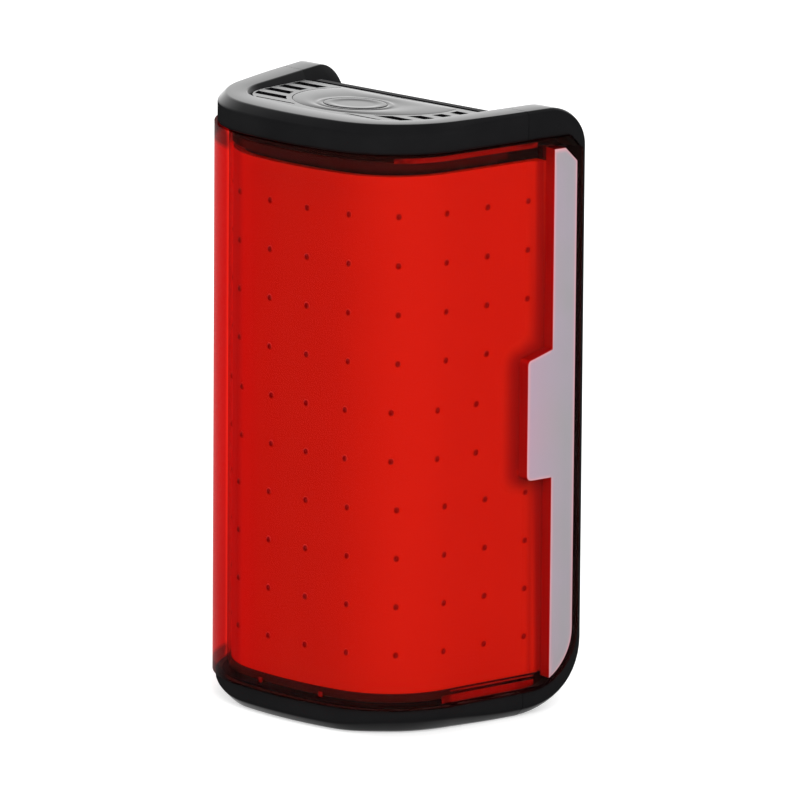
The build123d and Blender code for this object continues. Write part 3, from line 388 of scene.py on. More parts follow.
def rounded_path(corners: np.ndarray, radius: np.ndarray, steps: int) -> np.ndarray:
    """Closed polygon whose corners are bent.

    Each corner is a quadratic curve: it starts one radius before the corner, is pulled to it,
    and ends one radius after it.

    Args:
        corners: corner points, on the axis before the last one.
        radius: distance from each corner at which its curve starts and ends.
        steps: points on each curve.

    Returns:
        The points of all curves in order, on the axis before the last one.
    """
    before = np.roll(corners, 1, axis=-2) - corners
    after = np.roll(corners, -1, axis=-2) - corners
    reach = radius[..., None]
    start = corners + reach * before / np.linalg.norm(before, axis=-1, keepdims=True)
    finish = corners + reach * after / np.linalg.norm(after, axis=-1, keepdims=True)
    share = np.linspace(0, 1, steps)[:, None]
    bent = (
        (1 - share) ** 2 * start[..., None, :]
        + 2 * share * (1 - share) * corners[..., None, :]
        + share**2 * finish[..., None, :]
    )
    return bent.reshape(*corners.shape[:-2], -1, corners.shape[-1])


def quarter(steps: int = BEND_STEPS) -> tuple[np.ndarray, np.ndarray]:
    """One less the sine, and one less the cosine, of each step of a quarter turn."""
    turn = np.linspace(0, math.pi / 2, steps)
    return 1 - np.sin(turn), 1 - np.cos(turn)


def by_place(flat: np.ndarray, *values: Value) -> np.ndarray:
    """Values side by side for each place, from fixed ones and ones by place; flat holds only ones."""
    return np.stack([flat * value for value in values], -1)


def sections(flat: np.ndarray, *corners: tuple[Value, Value]) -> np.ndarray:
    """Cross sections by place and corner, from the two coordinates of each corner."""
    return np.stack([by_place(flat, *corner) for corner in corners], 1)


class Surface:
    """Grids of points that are sewn into one mesh."""

    def __init__(self) -> None:
        """Starts with no points."""
        self.points: list[np.ndarray] = []
        self.tones: list[np.ndarray] = []
        self.faces: list[list[int]] = []
        self.count = 0

    def add(self, grid: np.ndarray, loop: bool = False, tone: np.ndarray | None = None) -> None:
        """Adds a grid of points and the four-sided faces between them.

        Args:
            grid: points by row and column.
            loop: whether the last column joins the first.
            tone: one value for each point, which a finish can read.
        """
        rows, columns = grid.shape[:2]
        row = np.arange(rows - 1)[:, None]
        column = np.arange(columns if loop else columns - 1)[None, :]
        near = self.count + row * columns
        following = (column + 1) % columns
        corners = [near + column, near + following, near + columns + following, near + columns + column]
        self.faces += np.stack(corners, -1).reshape(-1, 4).tolist()
        self.points.append(grid.reshape(-1, 3))
        self.tones.append(np.zeros(rows * columns) if tone is None else tone.reshape(-1))
        self.count += rows * columns

    def add_pair(self, grid: np.ndarray) -> None:
        """Adds a grid and its mirror image across the light's middle."""
        self.add(grid)
        self.add(grid[:, ::-1] * MIRROR)

    def add_lid(self, ring: np.ndarray) -> None:
        """Adds one flat face.

        Args:
            ring: the points of its edge, in order.
        """
        self.faces.append(list(range(self.count, self.count + len(ring))))
        self.points.append(ring)
        self.tones.append(np.zeros(len(ring)))
        self.count += len(ring)

    def add_tube(self, grid: np.ndarray) -> None:
        """Adds a closed profile carried along a path, with both ends shut.

        Args:
            grid: points by place along the path and place round the profile.
        """
        self.add(grid, loop=True)
        self.add_lid(grid[0])
        self.add_lid(grid[-1][::-1])

    def add_slab(self, face: np.ndarray, back: np.ndarray, tone: np.ndarray | None = None) -> None:
        """Adds two grids of one size as the two sides of a slab, joined round their edges.

        Args:
            face: points of one side.
            back: points of the other side.
            tone: one value for each point of a side.
        """
        self.add(face, tone=tone)
        self.add(back[:, ::-1], tone=None if tone is None else tone[:, ::-1])
        for edge in (np.s_[0], np.s_[-1], np.s_[:, 0], np.s_[:, -1]):
            self.add(np.stack([face[edge], back[edge]]))

    def build(self, name: str, sharp: float = SHARP_DEGREES) -> bpy.types.Object:
        """Sews the grids into an object: equal points become one and faces turn outwards.

        Args:
            name: name of the piece.
            sharp: an edge whose faces meet at more than this angle, in degrees, stays crisp.

        Returns:
            The new object, at the origin.
        """
        mesh = bpy.data.meshes.new(name)
        mesh.from_pydata(np.concatenate(self.points).tolist(), [], self.faces)
        tone = mesh.attributes.new("tone", "FLOAT", "POINT")
        tone.data.foreach_set("value", np.concatenate(self.tones).astype(np.float32))
        sewn = bmesh.new()
        sewn.from_mesh(mesh)
        bmesh.ops.remove_doubles(sewn, verts=sewn.verts, dist=WELD)
        bmesh.ops.dissolve_degenerate(sewn, edges=sewn.edges, dist=WELD / 4)
        bmesh.ops.recalc_face_normals(sewn, faces=sewn.faces)
        sewn.to_mesh(mesh)
        sewn.free()
        mesh.polygons.foreach_set("use_smooth", np.ones(len(mesh.polygons), bool))
        mesh.set_sharp_from_angle(angle=math.radians(sharp))
        piece = bpy.data.objects.new(name, mesh)
        bpy.context.scene.collection.objects.link(piece)
        return piece


def thicken(piece: bpy.types.Object, wall: float, rim: int = 0) -> None:
    """Gives an open surface a wall of even thickness on its inner side.

    Args:
        piece: the object.
        wall: the thickness.
        rim: which of the piece's materials, counted from its first, the edges and the inner
            side take.
    """
    solid = piece.modifiers.new("wall", "SOLIDIFY")
    solid.thickness = wall
    solid.offset = -1
    solid.use_even_offset = True
    solid.material_offset = solid.material_offset_rim = rim


def soften(piece: bpy.types.Object, width: float, segments: int = 2) -> None:
    """Rounds a piece's edges and evens its normals.

    Args:
        piece: the object.
        width: how wide the rounding is.
        segments: steps across the rounding.
    """
    bevel = piece.modifiers.new("edge", "BEVEL")
    bevel.width = width
    bevel.segments = segments
    bevel.limit_method = "ANGLE"
    bevel.angle_limit = ROUNDED_ANGLE
    bevel.use_clamp_overlap = True
    even = piece.modifiers.new("normals", "WEIGHTED_NORMAL")
    even.keep_sharp = True


def set_out(
    piece: bpy.types.Object, material: bpy.types.Material, body: Body, slot: Slot, *nodes: str
) -> None:
    """Finishes a new piece and ties it to the frame.

    Args:
        piece: the new object.
        material: its finish.
        body: what it moves with.
        slot: the record's slot for its finish; not used.
        nodes: the CAD nodes that it stands for.
    """
    piece.data.materials.append(material)
    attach(piece, body.value)
    if nodes:
        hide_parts(*nodes)
    LOG.info("%s: %d faces, on %s", piece.name, len(piece.data.polygons), body.value)


# Finishes

SCREEN_WHITE = 255
LINE_END, LINE_SLOPE = 0.04045, 12.92
CURVE_SHIFT, CURVE_POWER = 0.055, 2.4


def linear(red: float, green: float, blue: float) -> Colour:
    """Colour in linear light from its three screen values, 0 to 255.

    The screen's curve is a straight line close to black, and a shifted power above it.

    Args:
        red: screen value of red.
        green: screen value of green.
        blue: screen value of blue.

    Returns:
        The same colour with the screen's curve undone.
    """
    screen = np.array([red, green, blue]) / SCREEN_WHITE
    curve = ((screen + CURVE_SHIFT) / (1 + CURVE_SHIFT)) ** CURVE_POWER
    light = np.where(screen <= LINE_END, screen / LINE_SLOPE, curve)
    return tuple(float(value) for value in light)


NOISE_RANGE = (0.3, 0.7)


class Tree:
    """The shader nodes of a material or of the surroundings."""

    def __init__(self, owner: bpy.types.Material | bpy.types.World) -> None:
        """Empties the owner's nodes and adds its output.

        Args:
            owner: the new material or world.
        """
        owner.use_nodes = True
        self.owner = owner
        self.nodes = owner.node_tree.nodes
        self.nodes.clear()
        self.output = self.add("OutputWorld" if isinstance(owner, bpy.types.World) else "OutputMaterial")

    def add(self, kind: str, inputs: dict[str | int, object] | None = None,
            **settings: object) -> bpy.types.Node:
        """Adds a node, sets its properties, and sets or joins its inputs.

        Args:
            kind: the node's type, without the words that all types start with.
            inputs: for each input its value, or the socket that feeds it.
            settings: the node's properties.

        Returns:
            The new node.
        """
        node = self.nodes.new("ShaderNode" + kind)
        for key, value in settings.items():
            setattr(node, key, value)
        for key, value in (inputs or {}).items():
            if isinstance(value, Socket):
                self.owner.node_tree.links.new(value, node.inputs[key])
            else:
                node.inputs[key].default_value = value
        return node

    def close(self, shader: Socket) -> bpy.types.Material | bpy.types.World:
        """Joins the shader to the output and hands the owner back."""
        self.owner.node_tree.links.new(shader, self.output.inputs["Surface"])
        return self.owner

    @cached_property
    def place(self) -> Socket:
        """Place on the piece."""
        return self.add("TexCoord").outputs["Object"]

    @cached_property
    def slant(self) -> Socket:
        """How far the surface is seen at a slant, in even steps: 0 head-on and 1 edge-on."""
        return self.add("LayerWeight", {"Blend": 0.5}).outputs["Facing"]

    @cached_property
    def tone(self) -> Socket:
        """The tone stored at the piece's points."""
        return self.add("Attribute", attribute_name="tone").outputs["Fac"]

    @cached_property
    def seen(self) -> Socket:
        """Value that is 1 for what the camera, a mirror or a glass sees, and 0 for lighting.

        Returns:
            The socket with the value.
        """
        path = self.add("LightPath")
        value = path.outputs["Is Camera Ray"]
        for other in ("Is Glossy Ray", "Is Transmission Ray"):
            value = self.math("MAXIMUM", value, path.outputs[other])
        return value

    def axis(self, vector: Socket, name: str) -> Socket:
        """One coordinate of a vector."""
        return self.add("SeparateXYZ", {"Vector": vector}).outputs[name]

    def noise(self, size: float, detail: float = 2.0, stretch: Colour | None = None) -> Socket:
        """Soft random values from 0 to 1.

        Args:
            size: length of a wave.
            detail: how many finer layers lie on the first.
            stretch: scale along each axis, for a grain that runs one way.

        Returns:
            The socket with the values.
        """
        place = self.place
        if stretch:
            place = self.add("Mapping", {"Vector": place, "Scale": stretch}).outputs["Vector"]
        return self.add("TexNoise", {"Vector": place, "Scale": 1 / size, "Detail": detail}).outputs["Fac"]

    def between(self, value: Socket, low: float, high: float, start: float = NOISE_RANGE[0],
                stop: float = NOISE_RANGE[1]) -> Socket:
        """Value carried from the range start to stop, by rule a noise's, into low to high."""
        ranges = {"From Min": start, "From Max": stop, "To Min": low, "To Max": high}
        return self.add("MapRange", {"Value": value, **ranges}).outputs["Result"]

    def mix(self, share: Socket, first: Colour | Socket, second: Colour) -> Socket:
        """Colour between two, of which the first may be a socket's, by a share from 0 to 1."""
        pair = {"A": first if isinstance(first, Socket) else (*first, 1), "B": (*second, 1)}
        return self.add("Mix", {"Factor": share, **pair}, data_type="RGBA").outputs["Result"]

    def patches(self, size: float, first: Colour, second: Colour, detail: float = 3.0) -> Socket:
        """Colour that runs between two over patches of a size."""
        return self.mix(self.between(self.noise(size, detail), 0, 1), first, second)

    def math(self, operation: str, first: Socket, second: Socket | float = 0.0) -> Socket:
        """Result of a sum on a socket and a second socket or number."""
        return self.add("Math", {0: first, 1: second}, operation=operation).outputs[0]

    def either(self, share: Socket, first: Socket, second: Socket) -> Socket:
        """Shader between two, by a share from 0 to 1."""
        return self.add("MixShader", {"Fac": share, 1: first, 2: second}).outputs["Shader"]

    def bump(self, height: Socket, depth: float, strength: float) -> Socket:
        """Surface normal pushed about by a height."""
        return self.add("Bump", {"Height": height, "Distance": depth, "Strength": strength}).outputs["Normal"]


@dataclass(frozen=True)
class Finish:
    """A solid finish whose colour, roughness and surface vary with its grain.

    The colour runs between two shades over broad patches, and the roughness and a small bump
    follow a fine grain.
    """

    name: str
    shade: Colour
    other_shade: Colour
    rough: tuple[float, float] = (0.4, 0.55)
    metallic: float = 0.0
    specular: float = 0.5
    patch: float = 4.0 * MM
    grain: float = 0.25 * MM
    grain_depth: float = 0.01 * MM
    grain_strength: float = 0.35
    stretch: Colour | None = None
    coat: float = 0.0

    def material(self) -> bpy.types.Material:
        """Builds the finish.

        Returns:
            The new material.
        """
        tree = Tree(bpy.data.materials.new(self.name))
        grain = tree.noise(self.grain, stretch=self.stretch)
        skin = tree.add("BsdfPrincipled", {
            "Base Color": tree.patches(self.patch, self.shade, self.other_shade),
            "Roughness": tree.between(grain, *self.rough),
            "Normal": tree.bump(grain, self.grain_depth, self.grain_strength),
            "Metallic": self.metallic,
            "Specular IOR Level": self.specular,
            "Coat Weight": self.coat,
        })
        return tree.close(skin.outputs["BSDF"])


@dataclass(frozen=True)
class SatinBlack:
    """Black plastic: almost no colour of its own, with a satin sheen on flats seen at a slant.

    The mirrored share is a small constant. On faces that look up or down it grows with a high
    power of the slant, so flats seen edge-on turn grey and the walls stay black.
    """

    name: str
    shade: Colour = (0.0045, 0.0045, 0.005)
    other_shade: Colour = (0.0065, 0.0065, 0.007)
    base: float = 0.005
    gain: float = 1.52
    power: float = 5.0
    raise_by: float = 0.15
    levels: tuple[float, float] = (0.3, 0.85)
    rough: tuple[float, float] = (0.3, 0.4)
    grain: float = 0.16 * MM
    grain_depth: float = 0.004 * MM
    grain_strength: float = 0.4
    patch: float = 5 * MM

    def material(self) -> bpy.types.Material:
        """Builds the finish.

        How level a face lies is read from its normal's height, raised a little first, so that
        faces that look up count sooner than those that look down.

        Returns:
            The new material.
        """
        tree = Tree(bpy.data.materials.new(self.name))
        grain = tree.noise(self.grain)
        bump = tree.bump(grain, self.grain_depth, self.grain_strength)
        colour = tree.patches(self.patch, self.shade, self.other_shade)
        matt = tree.add("BsdfDiffuse", {"Color": colour, "Normal": bump})
        gloss = tree.add("BsdfGlossy", {"Roughness": tree.between(grain, *self.rough), "Normal": bump})
        height = tree.axis(tree.add("NewGeometry").outputs["Normal"], "Z")
        level = tree.math("ABSOLUTE", tree.math("ADD", height, self.raise_by))
        slant = tree.math("POWER", tree.slant, self.power)
        grown = tree.math("MULTIPLY", tree.between(level, 0, self.gain, *self.levels), slant)
        share = tree.math("ADD", grown, self.base)
        return tree.close(tree.either(share, matt.outputs["BSDF"], gloss.outputs["BSDF"]))


@dataclass(frozen=True)
class LensFinish:
    """Clear red plastic: light passes tinted, and a little is mirrored, more at a slant."""

    name: str = "clear_red"
    tint: Colour = (0.975, 0.45, 0.38)
    mid_tint: Colour = (0.95, 0.2, 0.13)
    mid_slants: tuple[float, float] = (0.28, 0.44)
    deep_tint: Colour = (0.66, 0.03, 0.012)
    deep_slants: tuple[float, float] = (0.46, 0.56)
    end_tint: Colour = (0.2, 0.015, 0.02)
    ends: tuple[float, float] = (4.4 * MM, 62.3 * MM)
    fade: float = 0.6 * MM
    base: float = 0.004
    gain: float = 0.2
    power: float = 7.0
    rough: float = 0.05
    ripple: float = 9.0 * MM
    ripple_depth: float = 0.02 * MM
    ripple_strength: float = 0.2

    def material(self) -> bpy.types.Material:
        """Builds the finish.

        The mirrored share grows with a high power of the slant, and the tint deepens with
        it, because the way through the wall is longer there. Close to the lens's top and
        bottom the deep tint is nearly black, as the caps show in the wall.

        Returns:
            The new material.
        """
        tree = Tree(bpy.data.materials.new(self.name))
        height, (low, high) = tree.axis(tree.place, "Z"), self.ends
        above = tree.between(height, 0, 1, high, high + self.fade)
        under = tree.between(height, 1, 0, low - self.fade, low)
        deep = tree.between(tree.slant, 0, 1, *self.deep_slants)
        tint = tree.mix(tree.between(tree.slant, 0, 1, *self.mid_slants), self.tint, self.mid_tint)
        tint = tree.mix(deep, tint, self.deep_tint)
        tint = tree.mix(tree.math("MULTIPLY", tree.math("ADD", above, under), deep), tint, self.end_tint)
        clear = tree.add("BsdfTransparent", {"Color": tint})
        ripple = tree.bump(tree.noise(self.ripple, 1), self.ripple_depth, self.ripple_strength)
        mirror = tree.add("BsdfGlossy", {"Roughness": self.rough, "Normal": ripple})
        grown = tree.math("MULTIPLY", tree.math("POWER", tree.slant, self.power), self.gain)
        share = tree.math("ADD", grown, self.base)
        return tree.close(tree.either(share, clear.outputs["BSDF"], mirror.outputs["BSDF"]))


@dataclass(frozen=True)
class WindowFinish:
    """Milky plastic: pinkish at the tab, greyer to the rear, with a paler pink outline that is a painted edge
    highlight.
    """

    name: str = "milky_plastic"
    front: Colour = linear(170, 143, 158)
    rear: Colour = linear(148, 144, 148)
    cloud: Colour = linear(158, 146, 160)
    # Paler pink painted along the outline as the edge's highlight.
    edge: Colour = linear(205, 150, 158)
    front_y: float = 5.9 * MM
    rear_y: float = 11.0 * MM
    patch: float = 7 * MM
    most_cloud: float = 0.6
    rough: tuple[float, float] = (0.3, 0.38)
    grain: float = 0.3 * MM
    grain_depth: float = 0.003 * MM
    grain_strength: float = 0.15
    specular: float = 0.12
    scatter: float = 0.1
    scatter_reach: Colour = (1.0, 0.7, 0.7)
    scatter_depth: float = 0.6 * MM

    def material(self) -> bpy.types.Material:
        """Builds the finish.

        The tone stored on the piece is 1 along its outline and fades inwards; it paints the edge highlight.

        Returns:
            The new material.
        """
        tree = Tree(bpy.data.materials.new(self.name))
        along = tree.between(tree.axis(tree.place, "Y"), 0, 1, self.front_y, self.rear_y)
        cloud = tree.between(tree.noise(self.patch, 3), 0, self.most_cloud)
        colour = tree.mix(cloud, tree.mix(along, self.front, self.rear), self.cloud)
        grain = tree.noise(self.grain)
        skin = tree.add("BsdfPrincipled", {
            # The tone mixes in the painted edge highlight.
            "Base Color": tree.mix(tree.tone, colour, self.edge),
            "Roughness": tree.between(grain, *self.rough),
            "Normal": tree.bump(grain, self.grain_depth, self.grain_strength),
            "Specular IOR Level": self.specular,
            "Subsurface Weight": self.scatter,
            "Subsurface Radius": self.scatter_reach,
            "Subsurface Scale": self.scatter_depth,
        })
        return tree.close(skin.outputs["BSDF"])


@dataclass(frozen=True)
class ToneRed:
    """Matt red plastic whose shade follows the tone stored on the piece, from 0 to 1."""

    name: str
    plain: Colour
    toned: Colour
    start: float = 0.0
    stop: float = 1.0
    rough: tuple[float, float] = (0.5, 0.6)
    grain: float = 0.15 * MM
    specular: float = 0.05

    def material(self) -> bpy.types.Material:
        """Builds the finish.

        Returns:
            The new material.
        """
        tree = Tree(bpy.data.materials.new(self.name))
        share = tree.between(tree.tone, 0, 1, self.start, self.stop)
        skin = tree.add("BsdfPrincipled", {
            "Base Color": tree.mix(share, self.plain, self.toned),
            "Roughness": tree.between(tree.noise(self.grain), *self.rough),
            "Specular IOR Level": self.specular,
        })
        return tree.close(skin.outputs["BSDF"])


BLACK_SHELL = SatinBlack("black_shell_plastic")
BLACK_PLATE = SatinBlack(
    "black_plate_plastic", base=0.006, gain=0.3, rough=(0.4, 0.5), grain=0.22 * MM, grain_depth=0.008 * MM,
)
SOFT_BLACK = SatinBlack(
    "soft_black_rubber", base=0.005, gain=1.35, rough=(0.42, 0.5), grain=0.12 * MM, grain_depth=0.004 * MM,
)
PANEL_COLOUR = (0.585, 0.15, 0.04)
# Dark red of the painted shade beside the windows, where the sheets meet them.
WINDOW_SHADE_COLOUR = (0.29, 0.04, 0.03)
PANEL_RED = Finish(
    "panel_red", PANEL_COLOUR, (0.57, 0.143, 0.038), rough=(0.5, 0.6), specular=0.05,
    patch=9 * MM, grain=0.5 * MM, grain_depth=0.002 * MM, grain_strength=0.05,
)
# Finish of the sheets that paint shade beside the windows.
WINDOW_SHADE_RED = ToneRed("painted_window_shade", PANEL_COLOUR, WINDOW_SHADE_COLOUR)
RIM_RED = Finish(
    "window_edge_red", (0.56, 0.07, 0.05), (0.5, 0.06, 0.045), rough=(0.5, 0.6), specular=0.05,
    grain_depth=0.002 * MM, grain_strength=0.1,
)
DOT_RED = ToneRed("dot_red", PANEL_COLOUR, (0.24, 0.03, 0.02), start=0.08, stop=0.5)
# The lit red streak of the lens's rim is painted into this colour; the darker ends paint its fade.
RIB_STREAK_RED = ToneRed("rib_lit_streak", (0.33, 0.04, 0.03), (0.05, 0.006, 0.005))
GUIDE_MILKY = Finish("guide_milky", (0.1, 0.045, 0.05), (0.085, 0.035, 0.04), rough=(0.5, 0.6), specular=0.1)
INNER_BLACK = Finish(
    "inner_black_plastic", (0.03, 0.014, 0.016), (0.036, 0.018, 0.02), rough=(0.55, 0.65), specular=0.08,
    grain_depth=0.003 * MM, grain_strength=0.1,
)
SEAL_RUBBER = Finish(
    "seal_rubber", (0.012, 0.012, 0.012), (0.02, 0.02, 0.02), rough=(0.6, 0.75), specular=0.25,
)
STEEL = Finish(
    "screw_steel", (0.52, 0.52, 0.53), (0.42, 0.42, 0.44), rough=(0.22, 0.4), metallic=1.0,
    grain=0.1 * MM, stretch=(1, 1, 6),
)
SOCKET_STEEL = Finish(
    "socket_steel", (0.62, 0.62, 0.64), (0.5, 0.5, 0.53), rough=(0.18, 0.35), metallic=1.0,
    grain=0.1 * MM, stretch=(1, 1, 8),
)
BRASS = Finish(
    "insert_brass", (0.78, 0.56, 0.24), (0.66, 0.45, 0.17), rough=(0.2, 0.38), metallic=1.0, grain=0.12 * MM,
)
GOLD = Finish("pin_gold", (0.86, 0.65, 0.28), (0.75, 0.52, 0.2), rough=(0.2, 0.3), metallic=1.0)
ALUMINIUM = Finish(
    "spreader_aluminium", (0.7, 0.7, 0.72), (0.6, 0.6, 0.62), rough=(0.3, 0.45), metallic=1.0,
    grain=0.1 * MM, stretch=(1, 1, 10),
)
GREEN_BOARD = Finish(
    "green_board", (0.008, 0.06, 0.025), (0.01, 0.08, 0.032), rough=(0.3, 0.42), patch=1.2 * MM, coat=0.3,
)
BLACK_BOARD = Finish(
    "black_board", (0.02, 0.008, 0.008), (0.028, 0.012, 0.012), rough=(0.35, 0.5), patch=2 * MM,
)
RED_BOARD = Finish("red_board", (0.42, 0.012, 0.01), (0.36, 0.01, 0.01), rough=(0.35, 0.5), patch=2 * MM)
CHIP_BLACK = Finish("chip_black", (0.014, 0.014, 0.015), (0.02, 0.02, 0.021), rough=(0.45, 0.6))
CERAMIC_TAN = Finish("ceramic_tan", (0.42, 0.27, 0.14), (0.34, 0.21, 0.1), rough=(0.4, 0.5))
CELL_WRAP = Finish("cell_wrap", (0.45, 0.47, 0.5), (0.38, 0.4, 0.43), rough=(0.25, 0.4), metallic=0.6)
FOAM = Finish(
    "grey_foam", (0.09, 0.09, 0.095), (0.06, 0.06, 0.065), rough=(0.8, 0.95), patch=0.5 * MM,
    grain_depth=0.05 * MM, grain_strength=0.9,
)
LEAD_RED = Finish("lead_red", (0.5, 0.02, 0.015), (0.42, 0.015, 0.012), rough=(0.3, 0.42))
LED_PHOSPHOR = Finish("led_phosphor", (0.85, 0.78, 0.5), (0.8, 0.7, 0.4), rough=(0.3, 0.45))

NODE_FINISHES = {
    BLACK_PLATE: ["back_plate"],
    SOFT_BLACK: ["port_cover", "port_cover_anchor"],
    PANEL_RED: ["light_panel"],
    INNER_BLACK: ["chassis"],
    SEAL_RUBBER: ["back_gasket", "lens_gasket_top", "lens_gasket_bottom"],
    STEEL: ["back_screws", "board_screws"],
    SOCKET_STEEL: ["usb_socket"],
    BRASS: ["mount_inserts"],
    GOLD: ["link_pins"],
    ALUMINIUM: ["heat_spreader"],
    GREEN_BOARD: ["main_board", "button_board"],
    BLACK_BOARD: ["side_led_board_left", "side_led_board_right"],
    RED_BOARD: ["led_flex_board"],
    CHIP_BLACK: ["controller_chip", "driver_inductor", "tact_switch", "tact_plunger", "usb_tongue"],
    CERAMIC_TAN: ["capacitors"],
    CELL_WRAP: ["battery_cell"],
    FOAM: ["battery_pad"],
    LEAD_RED: ["battery_leads"],
    LED_PHOSPHOR: ["side_leds"],
    GUIDE_MILKY: ["side_guide_left", "side_guide_right"],
}
SOFTENED_NODES = {
    "back_plate": 0.14 * MM,
    "back_screws": 0.12 * MM,
    "port_cover": 0.14 * MM,
    "port_cover_anchor": 0.14 * MM,
}


# Lens and windows


@dataclass
class OuterLens:
    """The clear red wall round the front and both sides, with an opening on each side."""

    plan: Plan
    outlines: Outlines
    gap: float = 0.05 * MM
    edge: float = 0.18 * MM
    across: int = 8
    border_columns: int = 2
    foot_rows: int = 6
    arc_rows: int = 9
    low_rows: int = 5
    tab_rows: int = 5
    high_rows: int = 7
    head_rows: int = 3

    def heights(self) -> dict[str, np.ndarray]:
        """Heights of the rows of each band, from the bottom edge upwards.

        Returns:
            Arrays for the bands foot, low, tab, high and head; each starts where the last ended.
        """
        lines, gap = self.outlines, self.gap
        lens, window, bend = lines.lens(), lines.window(gap), lines.tab_corner
        low, high = lines.tab_ends(gap)[0], lines.shoulder(gap)
        tip_turn = math.acos((lens.arc_z - lines.tip(gap)) / lens.arc_radius)
        foot, arc = (
            lens.arc_z - lens.arc_radius * np.cos(np.linspace(*turn))
            for turn in ((0, tip_turn, self.foot_rows), (tip_turn, math.pi / 2, self.arc_rows))
        )
        corner = bend * quarter()[1]
        straight = np.linspace(low + bend, high - bend, self.tab_rows)[1:-1]
        upright = np.linspace(high, window.top - window.cut, self.high_rows)
        return {
            "foot": foot,
            "low": np.append(arc, np.linspace(lens.arc_z, low, self.low_rows)[1:]),
            "tab": np.concatenate([low + corner, straight, (high - corner)[::-1]]),
            "high": np.append(upright, [lens.top - lens.cut, window.top]),
            "head": np.linspace(window.top, lens.top, self.head_rows),
        }

    def side_grid(self, z: np.ndarray, low: Value, high: Value, columns: int) -> np.ndarray:
        """Grid on the outside of the right side, from y low to y high at each height.

        Args:
            z: heights of the rows, or of every point.
            low: y of the first column in each row.
            high: y of the last column in each row.
            columns: number of columns.

        Returns:
            Points by row and column.
        """
        rows = z if z.ndim == 1 else z[:, 0]
        low, high = np.broadcast_to(low, rows.shape), np.broadcast_to(high, rows.shape)
        y = blend(low, high, np.linspace(0, 1, columns))
        height = z[:, None] if z.ndim == 1 else z
        return self.plan.points(self.plan.end(y, 0), 0, height)

    def build(self, material: bpy.types.Material) -> None:
        """Builds the lens from bands of rows, each cut where the window's outline passes.

        In each row the runs go from the front middle to the tab's line, from there to the
        strip's front edge, and from the strip's rear edge to the rear edge of the lens. At the
        foot they are drawn in with the round rear edge.

        Args:
            material: its finish.
        """
        lens, window = self.outlines.lens(), self.outlines.window(self.gap)
        strip = self.outlines.strip_front(self.gap)
        inner = self.outlines.tab_front(self.gap) + self.outlines.tab_corner
        tip_rear = float(lens.rear_at(self.outlines.tip(self.gap)))
        surface = Surface()
        for band, z in self.heights().items():
            rear = lens.rear_at(z)
            squeeze = rear / tip_rear if band == "foot" else np.ones_like(z)
            first = self.outlines.tab_edge(z, self.gap) if band == "tab" else inner * squeeze
            shares = self.plan.stations(float(self.plan.end(inner, 0)), fine=2)
            run = self.plan.end(first, 0)[:, None] * shares
            surface.add_pair(self.plan.points(run, 0, z[:, None]))
            if band in ("foot", "low", "head"):
                surface.add_pair(self.side_grid(z, first, strip * squeeze, self.across))
            if band == "high":
                y = np.linspace(inner, strip, self.across)
                edge = self.outlines.tab_top(y, self.gap)
                share = (z - z[0]) / (z[-1] - z[0])
                slanted = edge + (z[-1] - edge) * share[:, None]
                surface.add_pair(self.side_grid(slanted, inner, strip, self.across))
            border = window.rear_at(z)
            if band == "foot":
                border = strip * squeeze
            if band == "head":
                border = np.full_like(z, window.rear - window.cut)
                surface.add_pair(self.side_grid(z, strip, border, self.border_columns + 1))
            surface.add_pair(self.side_grid(z, border, rear, self.border_columns + 1))
        piece = surface.build("clear_lens")
        thicken(piece, self.outlines.wall)
        soften(piece, self.edge, segments=3)
        set_out(piece, material, Body.LIGHT, Slot.LENS, "outer_lens")


